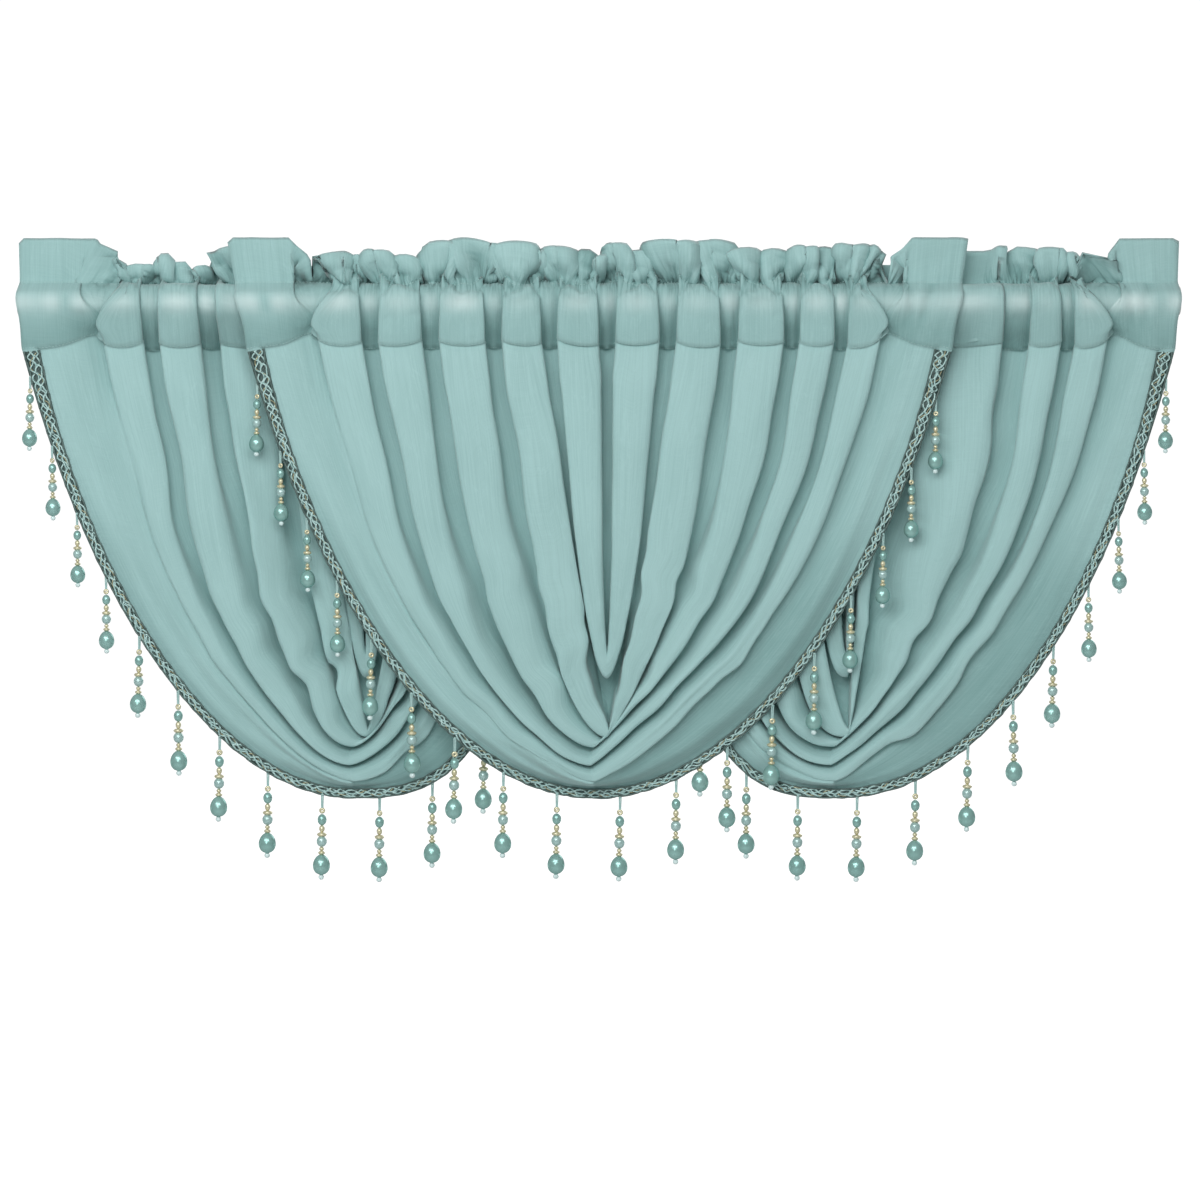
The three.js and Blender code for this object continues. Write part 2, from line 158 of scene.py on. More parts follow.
world = bpy.data.worlds.new("studio")
world.use_nodes = True
scene.world = world
background = world.node_tree.nodes["Background"]
background.inputs["Color"].default_value = (1.0, 1.0, 1.0, 1.0)
direction = Wire(world.node_tree).node("ShaderNodeTexCoord", None, None, GENERATED)
wall = map_range(axis_of(direction, Y), *WALL)
wall.math("MAXIMUM", wall, map_range(axis_of(direction, Z), *AMBIENT)).feed(background, "Strength")
print("world:", world.name)

# %% [markdown]
# Cloth shows its folds by their light and dark sides. A sun would draw hard edges, so two broad lamps
# stand at the front, a little to the left, and a third one behind lifts the edges.

# %% Lamps
LAMPS = (
    # name, place, width, height, watts
    ("key", (-0.5, -2.1, 0.95), 3.0, 0.7, 35),
    ("front", (-0.8, -3.8, 0.45), 1.4, 1.4, 27),
    ("back", (1.8, 2.6, 1.2), 1.6, 1.6, 20),
)
aim = camera.location.copy()
aim.y = 0
for name, place, width, height, watts in LAMPS:
    light = bpy.data.lights.new(name, "AREA")
    light.shape = "RECTANGLE"
    light.size, light.size_y = width, height
    light.energy = watts
    lamp = bpy.data.objects.new(name, light)
    lamp.location = place
    lamp.rotation_euler = (aim - lamp.location).to_track_quat("-Z", "Y").to_euler()
    scene.collection.objects.link(lamp)
print("lamps:", [row[0] for row in LAMPS])

# %% [markdown]
# The valance hangs in the air, so the floor is only a pale plane far below. It belongs to the stage and
# not to the object, and it gets its finish together with the other materials.

# %% Floor
REACH, FLOOR_Z = 30, -1.6
corners = ((-1, -1), (1, -1), (1, 1), (-1, 1))
floor_mesh = bpy.data.meshes.new("floor")
floor_mesh.from_pydata([(x * REACH, y * REACH, FLOOR_Z) for x, y in corners], [], [(0, 1, 2, 3)])
floor = bpy.data.objects.new("floor", floor_mesh)
scene.collection.objects.link(floor)
print("floor at", FLOOR_Z, "m")

# %% [markdown]
# ## Cloth material
# Thin slubby voile: uneven threads run down the drape, finer ones across, and the weave is just under
# a millimetre. A scan of real cloth could be laid over it; noise stretched along the two directions of
# the threads gives the same streaks at any size and needs no file. It reads the panel's own flat UV map,
# so the threads bend with the folds.

# %% Threads of the cloth
WEAVE = 0.0009


def new_material(name, constants):
    """A material, a wire to build its nodes with, and its shader with constant values set."""
    material = bpy.data.materials.new(name)
    material.use_nodes = True
    shader = material.node_tree.nodes["Principled BSDF"]
    for socket, value in constants.items():
        shader.inputs[socket].default_value = value
    return material, Wire(material.node_tree), shader


def streaks(across, down, seed):
    """Noise around 0, with so many streaks a metre across the cloth and down it."""
    place = voile.node("ShaderNodeCombineXYZ", None, {X: u * across, Y: v * down, Z: seed})
    return voile.node("ShaderNodeTexNoise", None, {"Vector": place, "Scale": 1.0, "Detail": 2.0}) - 0.5


def thin_lines(noise, sharpness):
    """Lines along the zeros of a noise."""
    return clamp(1.0 - noise.math("ABSOLUTE") * sharpness)


VOILE = {"Sheen Weight": 0.25, "Sheen Roughness": 0.5, "Specular IOR Level": 0.3}
cloth_material, voile, shader = new_material("voile", VOILE)
flat = voile.node("ShaderNodeUVMap", {"uv_map": "cloth"})
u, v = axis_of(flat, X), axis_of(flat, Y)
warp = streaks(800.0, 9.0, 0.0)
weft = streaks(30.0, 700.0, 4.0)
cloud = streaks(22.0, 9.0, 9.0)
crumple = streaks(55.0, 30.0, 21.0)
slub = thin_lines(streaks(150.0, 12.0, 3.0), 45.0)
threads, picks = ((way * (2 * math.pi / WEAVE)).math("SINE") for way in (u, v))
print("threads:", round(MM / WEAVE, 2), "a millimetre")

# %% [markdown]
# ### Colour of the cloth
# Voile lets light through; real transparency would show every hidden layer and costs time. Instead light
# and shade are painted into the cloth's colour: painted shade in valleys, hollows, creases, slots and on
# the doubled header and pocket, and a painted highlight on ridges, lip edges and where the cloth lies on
# the pale rod. Three mesh attributes say where: `fold` for the painted light and shade of the folds, high
# on a ridge, one for the painted highlight and smoother gloss on the rod, `pucker` for the painted shade by the
# stitches.

# %% Colour of the cloth
# The light and the middle colour span the threads' own streaks and the painted light and shade of the folds; the
# darkest colour is painted deep shade, the palest a painted highlight on the rod.
CLOTH_LIGHT = (0.36, 0.57, 0.562, 1)
CLOTH_DARK_THREADS_AND_SHADE = (0.215, 0.385, 0.375, 1)
CLOTH_PAINTED_DEEP_SHADE = (0.05, 0.11, 0.105, 1)
CLOTH_ROD_HIGHLIGHT = (0.66, 0.80, 0.79, 1)
FLOAT_OUTPUT = 2

fold, taut, pucker = (
    voile.node("ShaderNodeAttribute", {"attribute_name": key}, None, FLOAT_OUTPUT) for key in ("fold", "taut", "pucker")
)
# Painted light and shade: the fold attribute lightens ridges and darkens folds and hollows, the stitch creases and the
# pucker attribute paint shade by the stitches, and the last mix paints a highlight where the cloth lies on the rod. The
# streaks are the threads' own colour.
gather_bump_and_shade = thin_lines(streaks(170.0, 22.0, 12.0), 11.0) * pucker
height = fold * 0.14 + 0.70 + warp * 0.7 + weft * 0.3 + cloud * 0.5 + slub * 0.14 - gather_bump_and_shade * 0.9 - pucker * 0.15
base = mix(clamp(height), CLOTH_DARK_THREADS_AND_SHADE, CLOTH_LIGHT)
base = mix(clamp(height * -1.0), base, CLOTH_PAINTED_DEEP_SHADE)
base = mix(taut, base, CLOTH_ROD_HIGHLIGHT)
relief = threads * picks * 0.3 + warp * 1.2 + weft * 0.8 + slub * 0.5 - gather_bump_and_shade * 6.0 + crumple * 2.5
bump = voile.node("ShaderNodeBump", None, {"Strength": 0.25, "Distance": 0.0004, "Height": relief})
base.feed(shader, "Base Color")
(0.78 - taut * 0.35 + warp * 0.1).feed(shader, "Roughness")
bump.feed(shader, "Normal")
print("material:", cloth_material.name, "with", len(voile.tree.nodes), "nodes")

# %% [markdown]
# ## Rod, braid, bead and floor materials
# The rod is painted wood with a faint brush grain. The braid is twisted cord in two colours on a dark
# ribbon, the pearls have a soft sheen over a milky teal, and small metal beads sit between them. Each
# could have a tree of its own; they differ only in colour, grain and gloss, so one tree serves them all.

# %% Other materials
PEARL_SHEEN = {"Metallic": 0.45, "Specular IOR Level": 0.8, "Specular Tint": (0.30, 0.46, 0.43, 1)}
FINISHES = {
    # dark and light colour, grains a metre along x, y and z, roughness, depth of the grain, constant sockets
    "paint": ((0.72, 0.72, 0.70), (0.84, 0.84, 0.82), (12, 300, 300), 0.3, 0.15, {}),
    "cord": ((0.16, 0.33, 0.32), (0.60, 0.82, 0.79), (420, 420, 420), 0.2, 0.15, {"Coat Weight": 0.4}),
    "olive": ((0.22, 0.22, 0.13), (0.62, 0.58, 0.36), (420, 420, 420), 0.25, 0.15, {"Metallic": 0.3}),
    "ribbon": ((0.03, 0.06, 0.055), (0.09, 0.15, 0.14), (300, 300, 300), 0.5, 0.15, {}),
    "teal": ((0.035, 0.065, 0.058), (0.13, 0.20, 0.185), (420, 420, 420), 0.45, 0.15, {}),
    "thread": ((0.26, 0.45, 0.43), (0.46, 0.64, 0.62), (300, 300, 900), 0.4, 0.15, {}),
    "pearl": ((0.25, 0.46, 0.425), (0.35, 0.575, 0.54), (40, 40, 40), 0.16, 0.0, PEARL_SHEEN),
    "glass": (
        (0.34, 0.54, 0.52), (0.44, 0.62, 0.60), (40, 40, 40), 0.12, 0.0, {"Metallic": 0.25, "Specular IOR Level": 1.0},
    ),
    "clear": ((0.62, 0.80, 0.79), (0.72, 0.86, 0.85), (40, 40, 40), 0.15, 0.0, {"Coat Weight": 0.5}),
    "gold": ((0.58, 0.55, 0.34), (0.76, 0.73, 0.52), (90, 90, 90), 0.18, 0.04, {"Metallic": 0.45, "Coat Weight": 0.5}),
    "floor": ((0.80, 0.80, 0.80), (0.84, 0.84, 0.84), (3, 3, 3), 0.6, 0.15, {"Emission Strength": 0.8}),
}


def grained(name, dark, light, grain, rough, depth, constants):
    """A material whose colour and gloss vary with a stretched noise."""
    material, wires, principled = new_material(name, constants)
    place = wires.node("ShaderNodeTexCoord", None, None, OBJECT)
    stretched = wires.node("ShaderNodeVectorMath", {"operation": "MULTIPLY"}, {0: place, 1: grain})
    grains = wires.node("ShaderNodeTexNoise", None, {"Vector": stretched, "Scale": 1.0, "Detail": 3.0})
    dents = wires.node("ShaderNodeBump", None, {"Strength": depth, "Distance": 0.0003, "Height": grains})
    mix(grains, (*dark, 1), (*light, 1)).feed(principled, "Base Color")
    (grains * 0.15 + rough).feed(principled, "Roughness")
    dents.feed(principled, "Normal")
    return material


MATERIALS = {name: grained(name, *finish) for name, finish in FINISHES.items()}
print("materials:", sorted(MATERIALS))

# %% [markdown]
# The floor glows a little towards the wall, so that floor and wall meet without a line. The rod is the
# CAD piece itself: a plain painted rod needs no more than its finish.

# %% Floor and rod
GLOW_FROM, GLOW_TO = 1.5, 4.0
wires = Wire(MATERIALS["floor"].node_tree)
away = axis_of(wires.node("ShaderNodeTexCoord", None, None, OBJECT), Y)
glow = mix(map_range(away, GLOW_FROM, GLOW_TO), (0, 0, 0, 1), (1, 1, 1, 1))
glow.feed(wires.tree.nodes["Principled BSDF"], "Emission Color")
floor_mesh.materials.append(MATERIALS["floor"])
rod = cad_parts["rod"]
rod.data.materials.clear()
rod.data.materials.append(MATERIALS["paint"])
print("rod:", [material.name for material in rod.data.materials])

# %% [markdown]
# ## How a swag hangs
# A swag is a flat panel gathered along its top. Below the gathers each fold hangs in a loop from one
# side of the heading to the other, the inner loops short and steep, the hem the longest. Blender's cloth
# simulation could drop such a panel, but where its folds end up is luck. Here they are laid out: every
# point has a fold number, from the slit in the middle (0) to the hem (6), whole in a valley and half-way
# on a ridge, and a share of the way down its loop. Past fold 5 the cloth is a plain outer panel.

# %% Tables of the swags
SEAM_Z, STITCH_Z, HEADER_TOP = -41, 18, 62
PANEL, BAND_START, HEM = 5, 5.8, 6
VALLEY = np.arange(HEM + 1)
LINES = (
    # fold number, x and z of its lowest point, then power and flare of the loop in the left half and in
    # the right half; k + 0.2 and k + 0.8 are the two edges of a ridge
    (0.0, 12, -350, 1.50, 0.00, 1.50, 0.00),
    (0.2, 12, -354, 1.70, 0.00, 1.70, 0.00),
    (0.8, 11, -366, 1.95, 0.00, 1.95, 0.00),
    (1.2, 14, -431, 1.10, 0.00, 1.05, 0.05),
    (1.8, 12, -437, 1.85, 0.25, 1.15, 0.40),
    (2.2, 9, -440, 1.50, 0.25, 1.10, 0.40),
    (2.8, 0, -445, 1.90, 0.24, 1.10, 0.44),
    (3.2, -5, -454, 1.60, 0.30, 1.10, 0.44),
    (3.8, -5, -464, 1.62, 0.37, 1.10, 0.42),
    (4.2, -4, -470, 1.50, 0.35, 1.15, 0.40),
    (4.8, -3, -480, 1.53, 0.33, 1.20, 0.36),
    (5.0, -2, -484, 1.55, 0.30, 1.30, 0.33),
    (6.0, 0, -500, 2.00, 0.176, 2.00, 0.176),
)
LINE_FOLD, TIP_X, BOTTOM_Z, *SHAPES = np.array(LINES).T
DEPTH = (12, 12, 12, 12, 11, 6, 3)  # of the folds at each valley

HEADINGS = {
    # x of the valleys at the header's top and at the seam, from the slit outwards
    "middle_left": ((8, -50, -105, -169, -229, -291, -372), (8, -50, -105, -169, -229, -290, -353)),
    "middle_right": ((8, 69, 130, 194, 242, 290, 370), (8, 69, 130, 194, 242, 289, 354)),
    "left_outer": ((-241, -290, -356, -392, -450, -500, -581), (-241, -287, -320, -392, -449, -505, -578)),
    "left_hidden": ((-241, -199, -159, -121, -85, -49, -14), (-241, -199, -159, -121, -85, -49, -14)),
    "right_hidden": ((243, 197, 155, 117, 81, 46, 14), (243, 197, 155, 117, 81, 46, 14)),
    "right_outer": ((243, 283, 317, 425, 464, 497, 581), (243, 267, 289, 425, 470, 517, 577)),
}
NO_POCKET = 9
SWAGS = {
    # lowest point's x, how far it lies back, samples a fold, and each half's heading, fullness and pocket end
    "left": (-247, 30, 20, (("left_outer", 1, 2.43), ("left_hidden", 1.5, NO_POCKET))),
    "middle": (-4, 0, 30, (("middle_left", 1, 0), ("middle_right", 1, 0))),
    "right": (238, 30, 20, (("right_hidden", 1.5, NO_POCKET), ("right_outer", 1.06, 2.43))),
}
print("swags:", sorted(SWAGS))

# %% [markdown]
# ### Steps, bumps and noise
# Cloth is never even. Three small functions of numbers shape everything below: a soft step, a soft bump,
# and hills of noise whose seed makes them the same in every run. Noise textures could displace a finished
# mesh as well; here the numbers are needed before there is one.

# %% Steps, bumps and noise
CELLS = 97


def smooth(x, start, end):
    """A soft step from 0 at start to 1 at end."""
    t = np.clip((x - start) / (end - start), 0, 1)
    return t * t * (3 - 2 * t)


def hill(x, middle, width):
    """A soft bump: 1 at its middle, nothing two widths away."""
    return np.exp(-(((x - middle) / width) ** 2))


def noise(x, y, seed):
    """Smooth random hills from -1 to 1, one hill a unit."""
    cells = np.random.default_rng(seed).uniform(-1, 1, (CELLS, CELLS))
    x, y = np.broadcast_arrays(np.asarray(x, float), np.asarray(y, float))
    i, j = np.floor(x).astype(int), np.floor(y).astype(int)
    s, t = smooth(x - i, 0, 1), smooth(y - j, 0, 1)
    at = lambda a, b: cells[a % CELLS, b % CELLS]
    low = at(i, j) * (1 - s) + at(i + 1, j) * s
    high = at(i, j + 1) * (1 - s) + at(i + 1, j + 1) * s
    return low * (1 - t) + high * t


def ridged(x, y, seed):
    """Random creases: sharp along their tops, from -1 to 1."""
    return 1 - 2 * np.abs(noise(x, y, seed))


print("half-way up a step:", smooth(0.5, 0, 1))

# %% [markdown]
# ### The hanging lines
# A hanging chain could give each loop, but gathered cloth is fuller at its ends. Each line is a mix of
# two powers of the distance from its lowest point, with its points spaced evenly along it. The outer
# panel ends in a flat band at the hem, which carries the braid.

# %% Hanging lines
BAND = 13
TAB_DROP = 7
FLARE_POWER = 6
LINE_POINTS = 161
GRID = np.linspace(0, HEM, 301)


def panel_part(fold, width):
    """Share of the way from the last valley to the hem."""
    inside = 1 - BAND / width
    panel = (fold - PANEL) / (BAND_START - PANEL) * inside
    return np.where(fold <= BAND_START, panel, inside + (fold - BAND_START) / (HEM - BAND_START) * (1 - inside))


def hanging_lines(half):
    """x and z for every fold number in GRID and every share."""
    folds = np.append(GRID[GRID <= PANEL], HEM)[:, None]
    low = np.interp(folds, LINE_FOLD, BOTTOM_Z)
    power = np.interp(folds, LINE_FOLD, SHAPES[2 * half.number]) * half.fullness
    flare = np.interp(folds, LINE_FOLD, SHAPES[2 * half.number + 1])
    top = SEAM_Z - TAB_DROP * np.clip(folds - PANEL, 0, 1)
    u = (1 - np.linspace(0, 1, LINE_POINTS)) ** 1.5
    tip = half.bottom_x + np.interp(folds, LINE_FOLD, TIP_X)
    x = tip + (np.interp(folds, VALLEY, half.seam_x) - tip) * u
    z = low + (top - low) * ((1 - flare) * u**power + flare * u**FLARE_POWER)
    steps = np.hypot(np.diff(x), np.diff(z))
    length = np.concatenate([np.zeros((len(folds), 1)), np.cumsum(steps, 1)], 1)
    even = lambda values: np.array([np.interp(half.shares * run[-1], run, row) for run, row in zip(length, values)])
    x, z = even(x), even(z)
    width = np.hypot(x[-1] - x[-2], z[-1] - z[-2])
    part = panel_part(GRID[GRID > PANEL][:, None], width)
    panel = lambda values: values[-2] + (values[-1] - values[-2]) * part
    return np.vstack([x[:-1], panel(x)]), np.vstack([z[:-1], panel(z)])


def look_up(lines, fold):
    """A line's value at fold numbers that differ from row to row."""
    place = np.clip(fold, 0, HEM) / (GRID[1] - GRID[0])
    first = np.minimum(place.astype(int), len(GRID) - 2)
    rows = np.arange(lines.shape[1])
    return lines[first, rows] * (1 - (place - first)) + lines[first + 1, rows] * (place - first)


print("loops end from", BOTTOM_Z[0], "to", BOTTOM_Z[-1], "mm")

# %% [markdown]
# ### The shape of a fold
# Gathered cloth stands in boxes: a broad flat front, a narrower valley behind, and steep walls between,
# so steep that the front overhangs the valley. A sine wave would be too round and can't overhang, so a
# squared-off wave gives the depth and a sideways shift of the fronts gives the overhang. Lower down no
# lip runs straight.

# %% Shape of a fold
BOX_SHARPNESS = 1.9


def fold_wave(fold, sharp):
    """1 on a ridge, -1 in a valley, and a calm outer panel."""
    raw = np.tanh(sharp * (0.4 - np.cos(2 * np.pi * fold)))
    low, high = np.tanh(-0.6 * sharp), np.tanh(1.4 * sharp)
    box = 2 * (raw - low) / (high - low) - 1
    panel = -1 + 1.3 * smooth(fold, PANEL, 5.55)
    return np.where(fold > PANEL, panel, box)


def front_spread(fold, wave, amount):
    """How far the fronts of the boxes spread over their valleys, in folds."""
    return np.where(fold > PANEL, 0, -amount * wave * np.sin(2 * np.pi * fold))


def wander(half):
    """How far the lips stray from their lines, in folds; nothing at the two ends of a loop."""
    fold, shares = half.folds[:, None], half.shares
    slow = 0.15 * noise(fold, shares * 5, half.seed + 20) * smooth(shares, 0.1, 0.35)
    notches = 0.15 * noise(fold * 1.3, shares * 17, half.seed + 21) * smooth(shares, 0.4, 0.75)
    return (slow + notches) * smooth(fold, 0.6, 1.2) * (1 - smooth(fold, 4.7, PANEL)) * half.fade


print("valley, ridge, valley:", fold_wave(np.array([1, 1.5, 2]), BOX_SHARPNESS).round(2))

# %% [markdown]
# ### Which swag is in front
# The middle swag hangs over the inner halves of the other two. They go back behind it along the rod and
# come forward again below its hem, as cloth does that has room. Whole swags one behind the other would
# be simpler, but the outer ones would then stand off the rod at their free ends.

# %% Which swag is in front
BACK_AT, FRONT_AT = 390, 560


def middle_hem(x):
    """Height of the middle swag's hem, which the outer swags keep clear of."""
    low, power, flare = LINES[-1][2:5]
    middle = SWAGS["middle"][0]
    u = np.abs(x - middle) / (HEADINGS["middle_right"][1][HEM] - middle)
    return low + (SEAM_Z - TAB_DROP - low) * ((1 - flare) * u**power + flare * u**FLARE_POWER)


def set_back(half, x, z):
    """How far a point lies back."""
    below = smooth(middle_hem(x) - z, 50, 170)
    return half.back * smooth(-np.abs(x), -FRONT_AT, -BACK_AT) * (1 - 0.5 * below)


print("middle hem 200 mm from the centre:", round(float(middle_hem(200.0))), "mm")

# %% [markdown]
# ### The drape
# The loops lie in front of and behind a middle surface that bulges a little at mid height. Lower down
# gravity tips each fold over, so that its edge becomes a lip over the next one. Near the hem the panel
# curls back towards the wall, and below the shortest loop and between the lowest lips slots are left,
# set back a little and darkened with painted shade. Sculpting could add all this by hand; as terms of one
# sum each can be seen, named and changed.

# %% Folds of the drape
DRAPE_ROWS = 78
FIRST_ROWS = (0.0, 0.004, 0.011)  # close together, where the drape comes out from under the pocket
LEAN = 0.20
# Valleys whose slots are set back and given painted shade.
DARK_SLOTS = (2, 3, 4)  # valleys


def drape_shares():
    """Shares of the way down a loop: a few close rows under the seam, then closer towards the bottom."""
    even = 1 - (1 - np.linspace(0, 1, DRAPE_ROWS)) ** 1.25
    return np.concatenate([FIRST_ROWS, even[1:]])


def drape_wave(half, rounded):
    """Boxes at the seam, rounder folds below them and crisp lips at the bottom."""
    column = half.folds[:, None]
    crisp = smooth(half.shares, 0.35, 0.65)
    wave = fold_wave(column, BOX_SHARPNESS - 1.15 * rounded * (1 - 0.75 * crisp))
    return wave + half.merge * rounded * hill(column, PANEL, 0.4) * (0.45 - wave)


def drape_folds(half, wave, rounded):
    """The fold number each point hangs at, after fronts spread, folds lean over and lips wander."""
    column, shares = half.folds[:, None], half.shares
    outward = (0.25 + 0.75 * smooth(column, 1.4, 2.2)) * smooth(column, 0.1, 0.6)
    lean = LEAN * smooth(shares, 0.12, 0.75) * wave * outward
    tucked = 0.17 + (0.12 + 0.08 * (1 - smooth(column, 0.3, 0.6))) * rounded * (1 - smooth(shares, 0.3, 0.7))
    tucked = tucked - 0.12 * smooth(shares, 0.0, 0.7) * smooth(column, 1.2, 1.9)
    return column + front_spread(column, wave, tucked) + lean + wander(half)


def mark_hollows(half):
    """Where the hem's rim curls and gets painted shade, where the outer panel gets painted shade, and the slots between
    the lowest lips, set back and given painted shade.
    """
    column, shares = half.folds[:, None], half.shares
    half.rim = smooth(column, 5.45, BAND_START) * smooth(shares, 0.15, 0.45)
    # Painted shade on the outer panel, where it turns away from the lamps.
    half.shade = smooth(column, 4.95, 5.35) * smooth(shares, half.curl_start, half.curl_start + 0.3)
    nearest = np.round(column)
    leaf = (nearest == 3) * (1 - half.number)  # the widest slot, in the left half alone
    slot = hill(column, nearest, 0.17 + 0.07 * leaf) * np.isin(nearest, DARK_SLOTS)
    half.slot = slot * smooth(shares, 0.72 - 0.2 * leaf, 0.92 - 0.15 * leaf)


print("rows of the drape:", len(drape_shares()))

# %% [markdown]
# ### Depth of the drape
# Seen from above, the folds go in and out by up to 12 mm on either side of the middle surface, less
# towards the hem. A displacement map could push a flat sheet in and out too, but it knows nothing of the
# swag in front, the curling hem or the slots, so y is worked out point by point like x and z.

# %% Depth of the drape
MIDDLE_Y = -4
BELLY, SAG = 9, 3
RIM_CURL = 6
SLOT_DEPTH = 8


def wrinkles(half):
    """Small unevenness, calm at the hem and at the lowest point."""
    column, shares = half.folds[:, None], half.shares
    broad = 1.3 * noise(column * 5, shares * 3.5, half.seed) + 1.3 * noise(column * 2.1, shares * 9, half.seed + 1)
    fine = 0.5 * noise(column * 11 + shares * 2, shares * 4, half.seed + 12)
    low = smooth(shares, 0.5, 0.9) * noise(column * 3, shares * 26, half.seed + 2)
    return (1 - smooth(column, 5.7, 5.85)) * half.fade * (broad + fine + low)


def drape_depth(half, wave, x, z):
    """y of every point of the drape."""
    column, shares = half.folds[:, None], half.shares
    covered = smooth(z - middle_hem(x), -5, 45) * (half.back > 0)
    ends = 0.95 - 0.60 * smooth(column, 1.1, 1.8) * shares
    depth = np.interp(column, VALLEY, DEPTH) * (ends + (1 - ends) * np.sin(np.pi * shares))
    belly = (BELLY * np.sin(np.pi * shares**0.85) - SAG * shares) * (1 - 0.5 * (column / HEM) ** 2)
    curl = half.curl * smooth(column, 4.9, HEM) * smooth(shares, half.curl_start, 0.97)
    curl = curl + (0 if half.back else RIM_CURL) * half.rim
    recess = half.recess * hill(column, 1, 0.2) * smooth(shares, 0.7, 0.95) + SLOT_DEPTH * half.slot
    y = set_back(half, x, z) + MIDDLE_Y - belly + curl + recess - depth * wave * (1 - 0.65 * covered)
    return y + wrinkles(half)


def seam_wave(half, wave):
    """Each box of the pocket ends in a shallow curve of its own, lower in the gaps between."""
    column = half.folds[:, None]
    ridge = (1 + wave[:, :1]) / 2
    side = np.clip((column % 1 - 0.5) / 0.3, -1, 1)
    tilt = 6.0 * noise(np.floor(column) * 1.7, 0.5, half.seed + 22) * side
    scallop = ridge * (9.0 * side**2 - 3.5 + tilt) - (1 - ridge) * 5.0
    uneven = 2.0 * noise(column * 1.4, 0.5, half.seed + 3)
    raised = 10.0 * hill(column, PANEL, 0.3) * (half.pocket_end < PANEL)
    return (scallop * (column < PANEL) + uneven * (column < 5.9) + raised) * (1 - smooth(half.shares, 0, 0.12))


def drape_grid(half):
    """Points from the seam down to the lowest point of each loop, and the wave of its folds."""
    lines_x, lines_z = hanging_lines(half)
    rounded = smooth(half.shares, 0.02, 0.18)
    wave = drape_wave(half, rounded)
    fold = drape_folds(half, wave, rounded)
    x, z = look_up(lines_x, fold), look_up(lines_z, fold)
    mark_hollows(half)
    y = drape_depth(half, wave, x, z)
    return np.stack([x, y, z + seam_wave(half, wave)], 2), wave


print("folds are up to", max(DEPTH), "mm deep")

# %% [markdown]
# ### The header's lobes
# Above the stitch line the doubled cloth stands up as a ruffle of uneven lobes like petals: pinched at
# the stitches, wider and rounded at the top, some in front of their neighbours and some behind, with a
# flat tab at each end. Pure noise would give the ruffle but not its rhythm, so a table says where each
# lobe ends, how high it stands and how far it comes forward.

# %% Header lobes
LOBES = {
    # right edge of each lobe, its top and how far it comes forward, from one tab to the other
    "middle": (
        (-308, 63, 0.2), (-285, 48, 0.0), (-251, 56, 0.5), (-232, 49, -0.6), (-204, 54, 0.7),
        (-176, 46, 0.0), (-147, 62, 0.8), (-104, 63, 0.1), (-66, 61, 0.9), (-52, 52, -0.5), (-24, 56, 0.5),
        (-9, 56, -0.5), (6, 48, 0.3), (33, 62, 0.6), (55, 51, -0.2), (101, 63, 0.9), (139, 62, -0.1),
        (163, 56, 0.5), (186, 54, -0.4), (219, 58, 0.9), (236, 59, -0.5), (267, 61, 0.6), (285, 59, -0.2),
        (311, 45, 0.1), (372, 63, 0.2),
    ),
    "left": (
        (-500, 62, 0.2), (-475, 34, 0.3), (-444, 38, -0.2), (-427, 53, 0.6), (-408, 42, -0.4), (-389, 40, 0.3),
        (-352, 58, 0.5), (-300, 38, 0), (0, 38, 0),
    ),
    "right": (
        (240, 38, 0), (320, 38, 0), (392, 52, 0.2), (418, 57, 0.7), (440, 55, -0.3), (466, 56, 0.7), (486, 53, 0.3),
        (518, 47, 0.4), (582, 62, 0.2),
    ),
}
TAB_WIDTH = 55
MOST_SKEW = 0.45
BLUR = 10


def blur(mask):
    """A mask of columns, softened over the columns beside them."""
    wide = 2 * BLUR + 1
    return np.convolve(np.pad(mask * 1.0, BLUR, "edge"), np.full(wide, 1 / wide), "valid")


def lobe_shape(half, x):
    """For each x its lobe's top, forwardness and width, and the place across that lobe from 0 to 1."""
    edges, tops, forward = np.array(LOBES[half.name], float).T
    left = np.append(min(x.min(), edges[0] - 60), edges[:-1])
    which = np.minimum(np.searchsorted(edges, x), len(edges) - 1)
    width = (edges - left)[which]
    place = np.clip((x - left[which]) / width, 0, 1)
    skew = np.random.default_rng(half.seed + 30).uniform(-MOST_SKEW, MOST_SKEW, len(edges))[which]
    return tops[which], forward[which], width, place, place ** (2.0**skew)


def lobe_profile(half, stitch_x, top_x):
    """What each column of the header is like: a flat tab or not, how it bulges, leans and rises."""
    tops, forward, width, place, leaning = lobe_shape(half, top_x)
    flat = width > TAB_WIDTH
    side = np.abs(2 * place - 1)
    bulge = np.sin(np.pi * leaning)
    tab = np.minimum(2 * blur(flat), 1)
    crest = tab * 0.2 + (1 - tab) * (-0.9 + (1.6 + 0.7 * forward) * bulge**0.9)
    petal = np.sin(2 * np.pi * (leaning - 0.5)) * 0.40 * width + noise(stitch_x / 25, 7.5, half.seed + 6) * 5
    rounding = np.where(flat, 5 * np.clip((side - 0.86) / 0.14, 0, 1) ** 2.2, 12 * side**2.3)
    rise = tops - rounding + noise(stitch_x / 9, 2.5, half.seed + 5) * np.where(flat, 0.4, 2.2)
    inner_edge = top_x[-max(np.argmin(flat[::-1]), 1)]
    shoulder = HEADER_TOP - 4 - 1.1 * np.abs(top_x - inner_edge)
    rise = np.where(flat, rise, np.maximum(rise, shoulder))
    return SimpleNamespace(flat=flat, ruffle=1 - tab[:, None], bulge=bulge, crest=crest, petal=petal, rise=rise)


print("lobes:", {name: len(rows) for name, rows in LOBES.items()})

